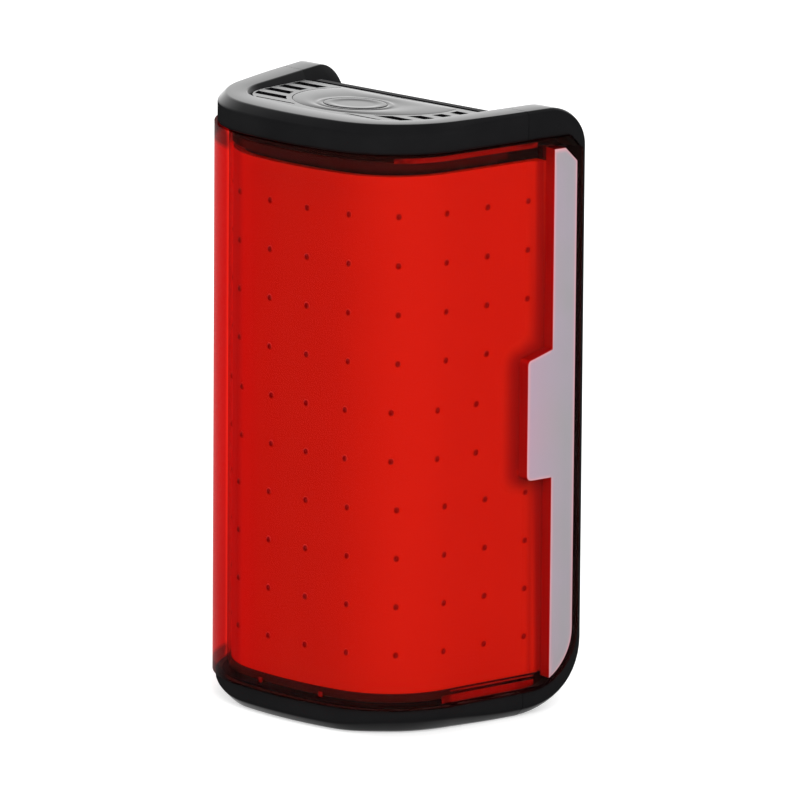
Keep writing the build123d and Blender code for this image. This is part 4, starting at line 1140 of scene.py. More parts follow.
@dataclass
class SideWindow:
    """A milky strip with a forward tab, let into the lens wall on one side."""

    plan: Plan
    outlines: Outlines
    edge: float = 0.16 * MM
    rim: float = 0.3 * MM
    sunk: float = 0.03 * MM
    columns: tuple[float, ...] = (0, 0.06, 0.12, 0.3, 0.5, 0.7, 0.88, 0.94, 1)
    foot_rows: int = 10
    low_rows: int = 6
    high_rows: int = 8
    cut_rows: int = 4
    tab_rows: int = 6
    tab_columns: int = 9

    def chart(self) -> list[tuple[np.ndarray, np.ndarray]]:
        """The window's patches in side view.

        The strip runs between its front edge and its rear edge at each height. The tab runs
        from its rounded front edge to the strip.

        Returns:
            Pairs of y and z, by row and column, for the strip's three bands and the tab.
        """
        lines, window, bend = self.outlines, self.outlines.window(0), self.outlines.tab_corner
        strip, (low, high) = lines.strip_front(0), lines.tab_ends(0)
        joint, corner = float(lines.tab_top(strip, 0)), window.top - window.cut
        tip_turn = math.acos((window.arc_z - lines.tip(0)) / window.arc_radius)
        turn = np.linspace(tip_turn, math.pi / 2, self.foot_rows)
        foot = window.arc_z - window.arc_radius * np.cos(turn)
        upright = np.linspace(joint, corner, self.high_rows)
        tab_share = self.tab_shares(low, high, bend)
        bands = [
            np.append(foot, np.linspace(window.arc_z, low, self.low_rows)[1:]),
            low + (joint - low) * tab_share,
            np.append(upright, np.linspace(corner, window.top, self.cut_rows)[1:]),
        ]
        patches = []
        for z in bands:
            y = blend(np.full_like(z, strip), window.rear_at(z), np.array(self.columns))
            patches.append((y, np.broadcast_to(z[:, None], y.shape)))
        level = low + (lines.shoulder(0) - low) * tab_share
        across = np.linspace(0, 1, self.tab_columns)
        y = blend(lines.tab_edge(level, 0), np.full_like(level, strip), across)
        edge = lines.tab_top(np.maximum(y, lines.tab_front(0) + bend), 0)
        patches.append((y, low + (edge - low) * tab_share[:, None]))
        return patches

    def tab_shares(self, low: float, high: float, bend: float) -> np.ndarray:
        """Rows of the tab as shares of its height, closest at its rounded corners.

        Args:
            low: height of its lower edge.
            high: height of its upper edge.
            bend: radius of its corners.

        Returns:
            The shares in rising order.
        """
        start = quarter()[1] * bend / (high - low)
        middle = np.linspace(start[-1], 1 - start[-1], self.tab_rows)[1:-1]
        return np.concatenate([start, middle, (1 - start)[::-1]])

    def edge_highlight_tone(self, y: np.ndarray, z: np.ndarray) -> np.ndarray:
        """Closeness to the window's outline, where the edge highlight is painted: 1 on it, falling to 0 a
        rim's width inside.

        Args:
            y: places on the window.
            z: their heights.

        Returns:
            The closeness of each place.
        """
        window, strip = self.outlines.window(0), self.outlines.strip_front(0)
        low = self.outlines.tab_ends(0)[0]
        beside = (z > low + TINY) & (z < self.outlines.tab_top(y, 0) - TINY)
        to_front = np.where(beside, y - self.outlines.tab_edge(z, 0), np.abs(y - strip))
        on_tab = y < strip - TINY
        to_rear = np.where(on_tab, 1, window.rear_at(z) - y)
        to_ends = np.where(on_tab, np.minimum(z - low, self.outlines.tab_top(y, 0) - z), window.top - z)
        nearest = np.minimum(np.minimum(to_front, to_rear), to_ends)
        return 1 - np.clip(nearest / self.rim, 0, 1)

    def build(self, material: bpy.types.Material, rim: bpy.types.Material, side: int, node: str) -> None:
        """Builds one window.

        Args:
            material: its finish.
            rim: the finish of the edges that meet the lens.
            side: 1 on the right and -1 on the left.
            node: the CAD node that it stands for.
        """
        surface = Surface()
        for y, z in self.chart():
            grid = self.plan.points(self.plan.end(y, 0), self.sunk, z)
            tone = self.edge_highlight_tone(y, z)
            if side > 0:
                surface.add(grid, tone=tone)
            else:
                surface.add(grid[:, ::-1] * MIRROR, tone=tone[:, ::-1])
        piece = surface.build("milky_" + node)
        thicken(piece, self.outlines.wall - 2 * self.sunk, rim=1)
        soften(piece, self.edge)
        set_out(piece, material, Body.LIGHT, Slot.WINDOW, node)
        piece.data.materials.append(rim)


@dataclass
class WindowShadeSheet:
    """A thin red sheet behind the lens, beside the window's front outline, with painted shade that darkens it
    towards the window.
    """

    plan: Plan
    outlines: Outlines
    reach: float = 1.9 * MM
    near: float = -0.4 * MM
    front: tuple[float, float] = (1.63 * MM, 2.09 * MM)
    back: float = 2.1 * MM
    ends: tuple[float, float] = (4.6 * MM, 61.7 * MM)
    hold: float = 1 / 6
    columns: int = 6
    bend_steps: int = 6

    def path(self, grow: float) -> np.ndarray:
        """The window's front outline in side view, moved outwards.

        Args:
            grow: how far.

        Returns:
            Y and z of its corners from the bottom to the top, with short steps round the tab's.
        """
        strip, front = self.outlines.strip_front(grow), self.outlines.tab_front(grow)
        low, high = self.outlines.tab_ends(grow)
        bend = self.outlines.tab_corner + max(grow, 0)
        inwards, upwards = quarter(self.bend_steps)
        round_y, round_z = front + bend * inwards, bend * upwards
        upper_z = high - round_z[::-1]
        joint = float(self.outlines.tab_top(strip, grow))
        y = np.concatenate([[strip, strip], round_y, round_y[::-1], [strip, strip]])
        z = np.concatenate([[self.ends[0], low], low + round_z, upper_z, [joint, self.ends[1]]])
        return np.stack([y, z], -1)

    def build(self, material: bpy.types.Material, side: int) -> None:
        """Builds the sheet on one side.

        Its tone, the depth of the painted shade, is 1 beside the window, holds for a share of the
        sheet's width, and then falls as a smooth step to 0.

        Args:
            material: its finish.
            side: 1 on the right and -1 on the left.
        """
        share = np.linspace(0, 1, self.columns)
        edge = blend(self.path(self.near), self.path(self.reach), share)
        y, z = edge[:, 0], edge[:, 1]
        rise = self.front[0] + (self.front[1] - self.front[0]) * np.broadcast_to(share, y.shape)
        front, back = (
            self.plan.points(self.plan.end(y, inset), inset, z) * np.array([side, 1, 1])
            for inset in (rise, self.back)
        )
        # Painted shade: darkest beside the window, fading to the panel's own red.
        tone = np.broadcast_to(1 - eased(share, self.hold, 1), y.shape)
        surface = Surface()
        surface.add_slab(front, back, tone)
        piece = surface.build(f"window_shade_sheet_{'right' if side > 0 else 'left'}")
        set_out(piece, material, Body.LIGHT, Slot.DIFFUSER)


@dataclass(frozen=True)
class Rib:
    """One raised bar on the inside of the lens, from run to run and height to height."""

    start: float
    stop: float
    bottom: float
    top: float


@dataclass
class LensRibStreaks:
    """Red bars inside the lens, close to its upper and lower edges, alike on both sides: the lens's inner
    rim, with the red streaks of light that it catches painted on and fading at the ends.
    """

    plan: Plan
    ribs: tuple[Rib, ...] = (
        Rib(14.0 * MM, 33.5 * MM, 63.3 * MM, 63.85 * MM),
        Rib(22.3 * MM, 33.7 * MM, 4.12 * MM, 4.26 * MM),
        Rib(21.0 * MM, 33.7 * MM, 2.95 * MM, 3.75 * MM),
        # A small bar on each side that paints a small red glint low on the lens.
        Rib(4.3 * MM, 4.95 * MM, 3.3 * MM, 3.85 * MM),
    )
    faces: tuple[float, float] = (1.63 * MM, 1.72 * MM)
    columns: int = 25
    fade: float = 0.35

    def build(self, material: bpy.types.Material) -> None:
        """Builds the bars as one piece.

        Each bar is a slab between two insets. Its tone, the painted fade of the streak, rises towards both of
        its ends.

        Args:
            material: its finish.
        """
        surface = Surface()
        share = np.linspace(0, 1, self.columns)
        # Painted fade of the streak, darker towards both ends.
        tone = np.clip(1 - np.minimum(share, 1 - share) / self.fade, 0, 1) ** 2
        for rib in self.ribs:
            run = rib.start + (rib.stop - rib.start) * share
            run, z = np.meshgrid(run, np.array([rib.bottom, rib.top]))
            front, back = (self.plan.points(run, inset, z) for inset in self.faces)
            tones = np.broadcast_to(tone, run.shape)
            surface.add_slab(front, back, tones)
            surface.add_slab(front[:, ::-1] * MIRROR, back[:, ::-1] * MIRROR, tones)
        piece = surface.build("lens_rib_streaks")
        set_out(piece, material, Body.LIGHT, Slot.LENS)


@dataclass
class LightDots:
    """Rows of small domes on the front of the light panel."""

    plan: Plan
    columns: int = 11
    rows: int = 10
    inset: float = 2.1 * MM
    shift: float = 1.88 * MM
    panel_rear: float = 9.5 * MM
    panel_bottom: float = 4.35 * MM
    panel_top: float = 61.75 * MM
    column_margin: float = 3.8 * MM
    row_margin: float = 4.35 * MM
    squeeze: float = 0.94
    tab_middle: float = 33.4 * MM
    tab_half: float = 6.55 * MM
    half: float = 0.42 * MM
    height: float = 0.26 * MM
    grid: int = 5
    sharp: float = 80.0

    def places(self) -> tuple[np.ndarray, np.ndarray]:
        """Run and height of each dot's middle.

        The columns are evenly spaced along the panel's curve, a little off its middle, and
        the rows that lie beside the windows' tabs are drawn in a little. The panel's runs are
        read off against the outermost curve's, arc by arc and alike on the straight side.

        Returns:
            Runs on the outermost curve, and heights.
        """
        front, corner = self.plan.arc_runs(self.inset)
        outer_front, outer_corner = self.plan.arc_runs(0)
        straight = self.plan.end(self.panel_rear, self.inset) - outer_front - outer_corner
        half_run = front + corner + straight - self.column_margin
        level = np.linspace(self.panel_bottom + self.row_margin, self.panel_top - self.row_margin, self.rows)
        share = np.linspace(-1, 1, self.columns)
        drawn = np.where(np.abs(level - self.tab_middle) < self.tab_half, self.squeeze, 1)
        distance = half_run * share[None, :] * drawn[:, None] + self.shift
        inner = [0, front, front + corner, front + corner + 1]
        outer = [0, outer_front, outer_front + outer_corner, outer_front + outer_corner + 1]
        run = np.sign(distance) * np.interp(np.abs(distance), inner, outer)
        return run.ravel(), np.broadcast_to(level[:, None], distance.shape).ravel()

    def build(self, material: bpy.types.Material) -> None:
        """Builds all dots as one piece.

        A dot is a square grid whose corners are drawn in. Its height falls from the middle as
        one less the square of the distance, and a flat back closes it.

        Args:
            material: the dots' finish.
        """
        run, level = self.places()
        u, v = np.meshgrid(np.linspace(-1, 1, self.grid), np.linspace(-1, 1, self.grid))
        reach = np.maximum(np.abs(u), np.abs(v))
        corner = np.sqrt(1 - 0.5 * np.minimum(u**2, v**2) / np.maximum(reach**2, TINY))
        across, up = u * corner * self.half, v * corner * self.half
        rise = self.height * (1 - reach**2)
        surface = Surface()
        for along, z in zip(run, level):
            dome = self.plan.points(along + across, self.inset - rise, z + up)
            surface.add(dome, tone=1 - reach**2)
            edge = np.concatenate([dome[0, :-1], dome[:-1, -1], dome[-1, :0:-1], dome[:0:-1, 0]])
            surface.add_lid(edge[::-1])
        piece = surface.build("light_dots", self.sharp)
        set_out(piece, material, Body.LIGHT, Slot.CHIP, "led_dots")


# Top: cap, pad and button


@dataclass(frozen=True)
class Deck:
    """The sloping deck between the arms: a plane that falls towards the rear."""

    front_y: float = -9.4 * MM
    front_z: float = 67.55 * MM
    slope: float = 0.85 / 15.3
    button_y: float = -1.9 * MM
    hole_radius: float = 3.5 * MM

    def z(self, y: Value) -> Value:
        """Height of the deck at y."""
        return self.front_z - self.slope * (y - self.front_y)

    def points(self, across: np.ndarray, along: np.ndarray, rise: Value) -> np.ndarray:
        """Points near the button, measured in the deck's own plane.

        Args:
            across: distance to +X of the button's middle.
            along: distance up the deck's fall line, towards the rear.
            rise: height above the deck, along its normal.

        Returns:
            Points, with x, y and z on the last axis.
        """
        across, along, rise = np.broadcast_arrays(across, along, rise)
        tilt = math.atan(self.slope)
        y = self.button_y + along * math.cos(tilt) + rise * math.sin(tilt)
        z = self.z(self.button_y) - along * math.sin(tilt) + rise * math.cos(tilt)
        return np.stack([across, y, z], -1)


@dataclass(kw_only=True)
class ShellPart:
    """A part of the black shell: it runs a little inside the plan curve, up to a seam."""

    plan: Plan
    inset: float = 0.34 * MM
    seam_y: float = 5.9 * MM
    bend_share: float = 1 / 3
    bend_steps: int = 4

    def carried(self, share: np.ndarray, section: np.ndarray, bend: np.ndarray) -> np.ndarray:
        """Cross sections with bent corners, carried along the plan curve to the seam.

        Args:
            share: places along the curve, as shares of the run to the seam.
            section: inset and height, by place and corner.
            bend: how far each corner's bend reaches, by place and corner.

        Returns:
            Points by place along the curve and place round the section.
        """
        path = rounded_path(section, bend, self.bend_steps)
        run = share[:, None] * self.plan.end(self.seam_y, path[..., 0])
        return self.plan.points(run, path[..., 0], path[..., 1])


@dataclass(kw_only=True)
class ArmPart(ShellPart):
    """A part of the shell that forms the two arms beside the deck."""

    top: float = 67.7 * MM
    rim_inset: float = 4.3 * MM
    arm_chamfer: float = 0.34 * MM
    draft: float = 0.75 * MM
    edge: float = 0.14 * MM


@dataclass(kw_only=True)
class TopCap(ArmPart):
    """The black top: a C-shaped rim with a chamfer, a slotted deck and a ring that enters the lens."""

    deck: Deck
    joint: float = 64.55 * MM
    chamfer: float = 0.9 * MM
    narrowing: tuple[float, float] = (0.45, 0.95)
    leaning: tuple[float, float] = (0.2, 0.5)
    bend_share: float = 0.2
    skirt: tuple[float, float] = (1.75 * MM, 2.5 * MM)
    skirt_bottom: float = 63.5 * MM
    skirt_gap: float = 1.3 * MM
    pad_y: float = 1.5 * MM
    pad_radius: float = 9.2 * MM
    pad_cut_y: float = 5.4 * MM
    pad_depth: float = 0.6 * MM
    hole_depth: float = 1.9 * MM
    slot_gap: float = 0.6 * MM
    slot_rim_gap: float = 0.1 * MM
    slot_rows: int = 5
    slot_pitch: float = 2.85 * MM
    slot_width: float = 1.5 * MM
    slot_depth: float = 0.9 * MM
    first_slot_y: float = 3.3 * MM
    rear_gap: float = 0.4 * MM
    floor_z: float = 65.0 * MM
    front_rows: int = 8
    pad_rows: int = 22
    hole_rows: int = 13
    rear_rows: int = 9
    patch_columns: int = 4

    def rim(self) -> np.ndarray:
        """The rim bar: its cross section, carried along the plan curve to the seam.

        The chamfer is full round the front and narrows along the arms. The inner wall stands
        upright at the front and leans outwards along the arms.

        Returns:
            Points by place along the curve and place round the section.
        """
        share = self.plan.whole_stations(float(self.plan.end(self.seam_y, 0)), fine=2)
        far, flat = np.abs(share), np.ones_like(share)
        cut = self.chamfer + (self.arm_chamfer - self.chamfer) * eased(far, *self.narrowing)
        lean = self.rim_inset - self.draft * eased(far, *self.leaning)
        slot_floor = self.deck.z(self.seam_y) - self.slot_depth
        section = sections(
            flat, (self.inset, self.joint), (self.inset, self.top - cut), (self.inset + cut, self.top),
            (lean, self.top), (self.rim_inset, slot_floor), (self.skirt[1] + self.pad_depth, self.joint),
        )
        slight = cut * self.bend_share
        bend = by_place(flat, self.edge / 2, slight, slight, self.edge, self.edge, self.edge)
        return self.carried(share, section, bend)

    def skirt_ring(self) -> np.ndarray:
        """The ring that locates the cap inside the lens.

        Returns:
            Points by place along the curve and corner of the ring's section.
        """
        share = self.plan.whole_stations(float(self.plan.end(self.seam_y, 0)))[:, None]
        inset = np.array([[self.skirt[0], self.skirt[0], self.skirt[1], self.skirt[1]]])
        z = np.array([[self.skirt_bottom, self.joint, self.joint, self.skirt_bottom]])
        run = share * self.plan.end(self.seam_y - self.skirt_gap, inset)
        return self.plan.points(run, inset, z)

    def deck_rows(self) -> tuple[np.ndarray, np.ndarray]:
        """Rows of the deck at rising y, with two rows at each wall of a slot.

        Where a slot starts, the row outside it comes first, and where it stops, the row in it.

        Returns:
            The y of each row, and whether the row lies in a slot.
        """
        pad_front = self.pad_y - self.pad_radius
        ring = self.pad_y - self.pad_radius * np.cos(np.linspace(0, math.pi / 2, self.pad_rows))
        hole_turn = np.linspace(0, math.pi, self.hole_rows)
        hole = self.deck.button_y + self.deck.hole_radius * np.cos(hole_turn)
        middles = self.first_slot_y - self.slot_pitch * np.arange(self.slot_rows)
        starts = np.maximum(middles - self.slot_width / 2, pad_front)
        stops = middles + self.slot_width / 2
        plain = np.concatenate([
            np.linspace(self.deck.front_y, pad_front, self.front_rows, endpoint=False), ring, hole,
            np.linspace(self.pad_y, self.seam_y - self.rear_gap, self.rear_rows), [self.pad_cut_y],
        ])
        held = (plain[:, None] > starts + WELD) & (plain[:, None] < stops - WELD)
        walls = np.concatenate([starts, stops, starts, stops])
        in_slot = np.repeat([0, 0, 1, 1], self.slot_rows)
        y = np.concatenate([plain, walls])
        state = np.concatenate([held.any(1).astype(int), in_slot])
        nearest = np.min(np.abs(plain[:, None] - np.concatenate([starts, stops])), 1)
        keep = np.concatenate([nearest > WELD, np.ones(len(walls), bool)])
        y, state = y[keep], state[keep]
        side = np.where(np.isin(y, starts), 1, -1) * state
        order = np.lexsort((side, y))
        return y[order], state[order].astype(bool)

    def deck_face(self) -> np.ndarray:
        """The deck's upper side: flat, with the pad's seat, the button's hole and the slots sunk in.

        Each row is cut at the hole, the pad, the slots' ends and the rim. Every piece of a row
        has its own depth below the deck, and two points at one place make an upright wall.

        Returns:
            Points by row and column.
        """
        y, slotted = self.deck_rows()
        pad = np.where(y > self.pad_cut_y - WELD, 0, chord(self.pad_radius, y - self.pad_y))
        hole = chord(self.deck.hole_radius, y - self.deck.button_y)
        around = chord(self.pad_radius + self.slot_gap, y - self.pad_y)
        rim = self.plan.half_x(y, self.rim_inset - self.edge)
        slot_end = np.maximum(self.plan.half_x(y, self.rim_inset + self.slot_rim_gap), 0)
        around = np.minimum(around, slot_end)
        pad = np.minimum(pad, around)
        hole = np.minimum(hole, pad)
        flat = np.ones_like(y)
        bounds = by_place(flat, 0, hole, pad, around, slot_end, np.maximum(rim, slot_end))
        depths = by_place(flat, self.hole_depth, self.pad_depth, 0, self.slot_depth * slotted, 0)
        share = np.linspace(0, 1, self.patch_columns)
        x = blend(bounds[:, :-1], bounds[:, 1:], share).reshape(len(y), -1)
        depth = np.repeat(depths, len(share), axis=1)
        z = self.deck.z(y)[:, None] - depth
        return np.stack([x, np.broadcast_to(y[:, None], x.shape), z], -1)

    def build(self, material: bpy.types.Material) -> None:
        """Builds the cap.

        Args:
            material: its finish.
        """
        surface = Surface()
        surface.add_tube(self.rim())
        surface.add_tube(self.skirt_ring())
        right = self.deck_face()
        whole = np.concatenate([right[:, ::-1] * MIRROR, right], 1)
        under = whole.copy()
        under[..., 2] = self.floor_z
        surface.add_slab(whole, under)
        piece = surface.build("top_shell", SHELL_SHARP_DEGREES)
        set_out(piece, material, Body.LIGHT, Slot.SHELL, "top_cap")


@dataclass(kw_only=True)
class BottomCap(ShellPart):
    """The black foot: a chamfered rim, and a plate with a recess for the port cover and a port."""

    top: float = 2.85 * MM
    foot: float = 1.1 * MM
    corner_foot: float = 1.75 * MM
    widening: tuple[float, float] = (0.2, 0.45)
    narrowing: tuple[float, float] = (0.6, 0.95)
    edge: float = 0.16 * MM
    wall_inset: float = 3.3 * MM
    rim_inset: float = 5.0 * MM
    plate: float = 1.5 * MM
    recess: float = 0.9 * MM
    recess_x: tuple[float, float] = (-6.95 * MM, 9.81 * MM)
    port: tuple[float, float] = (9.3 * MM, 3.6 * MM)
    recess_width: float = 7.1 * MM
    port_y: float = 1.47 * MM
    front_y: float = -8.6 * MM
    block_rows: int = 12
    block_columns: int = 3

    def rim(self) -> np.ndarray:
        """The rim: its cross section, carried along the plan curve to the seam.

        The foot's chamfer is a little larger round the corner arcs.

        Returns:
            Points by place along the curve and place round the section.
        """
        share = self.plan.whole_stations(float(self.plan.end(self.seam_y, 0)), fine=2)
        far, flat = np.abs(share), np.ones_like(share)
        grown = eased(far, *self.widening) * (1 - eased(far, *self.narrowing))
        cut = self.foot + (self.corner_foot - self.foot) * grown
        section = sections(
            flat, (self.inset, self.top), (self.inset, cut), (self.inset + cut, 0), (self.rim_inset, 0),
            (self.rim_inset, self.plate), (self.wall_inset, self.plate), (self.wall_inset, self.top),
        )
        wide, small = cut * self.bend_share, self.edge / 4
        bend = by_place(flat, self.edge / 2, wide, wide, small, small, small, small)
        return self.carried(share, section, bend)

    def add_block(self, surface: Surface, y: tuple[float, float], x: tuple[float | None, float | None],
                  z: tuple[float, float]) -> None:
        """Adds a block of the plate.

        Args:
            surface: what it is added to.
            y: its front and rear.
            x: its left and right, or None where it reaches the rim.
            z: its lower and upper side.
        """
        row = np.linspace(*y, self.block_rows)
        wide = self.plan.half_x(row, self.rim_inset - self.edge)
        left = -wide if x[0] is None else np.full_like(row, x[0])
        right = wide if x[1] is None else np.full_like(row, x[1])
        across = blend(left, right, np.linspace(0, 1, self.block_columns))
        low, high = (
            np.stack([across, np.broadcast_to(row[:, None], across.shape), np.full_like(across, level)], -1)
            for level in z
        )
        surface.add_slab(high, low)

    def build(self, material: bpy.types.Material) -> None:
        """Builds the foot: the rim, the plate round the port, and what is left round the recess.

        Args:
            material: its finish.
        """
        surface = Surface()
        surface.add_tube(self.rim())
        thin, thick = (self.recess, self.plate), (0.0, self.recess)
        port = [self.port_y - self.port[1] / 2, self.port_y + self.port[1] / 2]
        sunk = [self.port_y - self.recess_width / 2, self.port_y + self.recess_width / 2]
        layers = (
            (thin, port, (-self.port[0] / 2, self.port[0] / 2)),
            (thick, sunk, self.recess_x),
        )
        for level, (front, rear), (left, right) in layers:
            self.add_block(surface, (self.front_y, front), (None, None), level)
            self.add_block(surface, (rear, self.seam_y), (None, None), level)
            self.add_block(surface, (front, rear), (None, left), level)
            self.add_block(surface, (front, rear), (right, None), level)
        piece = surface.build("foot_shell", SHELL_SHARP_DEGREES)
        set_out(piece, material, Body.LIGHT, Slot.SHELL, "bottom_cap")


@dataclass
class ButtonPad:
    """The soft pad round the button: a disc cut straight at its rear, with a raised ring."""

    deck: Deck
    plan_radius: float = 9.16 * MM
    middle: float = 3.4 * MM
    cut: float = 7.22 * MM
    least_sine: float = 0.05
    ring_width: float = 0.8 * MM
    ring_rise: float = 0.08 * MM
    thickness: float = 0.58 * MM
    edge: float = 0.12 * MM
    dome: float = 0.1 * MM
    cut_turns: int = 20
    round_turns: int = 76
    ring_steps: int = 11
    top_steps: int = 9

    def outer(self, turn: np.ndarray) -> np.ndarray:
        """Distance from the button's middle to the pad's edge.

        It is where a ray meets the pad's circle, whose middle lies behind the button, or the
        straight cut if that comes first. Rays of a lesser sine never meet the cut first.

        Args:
            turn: direction of each ray, from +X towards the rear.

        Returns:
            The distances.
        """
        ahead = self.middle * np.sin(turn)
        circle = ahead + np.sqrt(self.plan_radius**2 - (self.middle * np.cos(turn)) ** 2)
        return np.minimum(circle, self.cut / np.maximum(np.sin(turn), self.least_sine))

    def build(self, material: bpy.types.Material) -> None:
        """Builds the pad: a section with ring, dished top and rounded edge, turned about the button.

        Args:
            material: its finish.
        """
        half_cut = math.sqrt(self.plan_radius**2 - (self.cut - self.middle) ** 2)
        corner = math.atan2(self.cut, half_cut)
        turn = np.concatenate([
            np.linspace(corner, math.pi - corner, self.cut_turns, endpoint=False),
            np.linspace(math.pi - corner, 2 * math.pi + corner, self.round_turns, endpoint=False),
        ])
        outer = self.outer(turn)[:, None]
        wide = np.ones_like(outer)
        hole = self.deck.hole_radius
        hump, across = np.linspace(0, 1, self.ring_steps), np.linspace(0, 1, self.top_steps)[1:-1]
        ring_r = np.append(hole, hole + self.ring_width * hump)
        top_r = ring_r[-1] + (outer - self.edge - ring_r[-1]) * across
        inwards, downwards = quarter()
        edge_r = outer - self.edge * inwards
        radius = np.concatenate([ring_r * wide, top_r, edge_r, outer, hole * wide], 1)
        rise = np.concatenate([
            [-self.thickness], self.ring_rise * np.sin(math.pi * hump), self.dome * np.sin(math.pi * across),
            -self.edge * downwards, [-self.thickness] * 2])
        angle = turn[:, None]
        grid = self.deck.points(radius * np.cos(angle), radius * np.sin(angle), rise)
        surface = Surface()
        surface.add(np.swapaxes(grid, 0, 1), loop=True)
        piece = surface.build("soft_pad")
        set_out(piece, material, Body.LIGHT, Slot.SOFT, "button_pad")


@dataclass
class Button:
    """The round button: a dished cap that slides along the deck's normal."""

    deck: Deck
    radius: float = 3.46 * MM
    foot_radius: float = 3.2 * MM
    dish: float = 2.5 * MM
    ramp: float = 1.0 * MM
    proud: float = 0.1 * MM
    sink: float = 0.1 * MM
    depth: float = 1.1 * MM
    edge: float = 0.12 * MM
    ramp_steps: int = 6
    turns: int = 64

    def build(self, material: bpy.types.Material) -> None:
        """Builds the button by turning its section about the button's axis.

        Args:
            material: its finish.
        """
        inwards, downwards = quarter()
        slope = np.linspace(0, 1, self.ramp_steps)
        radius = np.concatenate([
            [0, self.dish / 2], self.dish + self.ramp * (slope - 0.5), self.radius - self.edge * inwards,
            [self.foot_radius, 0]])
        rise = np.concatenate([
            [self.proud - self.sink] * 2, self.proud - self.sink * (1 - eased(slope, 0, 1)),
            self.proud - self.edge * downwards, [-self.depth, -self.depth]])
        turn = np.linspace(0, 2 * math.pi, self.turns, endpoint=False)
        grid = self.deck.points(radius[:, None] * np.cos(turn), radius[:, None] * np.sin(turn), rise[:, None])
        surface = Surface()
        surface.add(grid, loop=True)
        piece = surface.build("press_button")
        set_out(piece, material, Body.BUTTON, Slot.SOFT, "button_cap")


# Rear shell


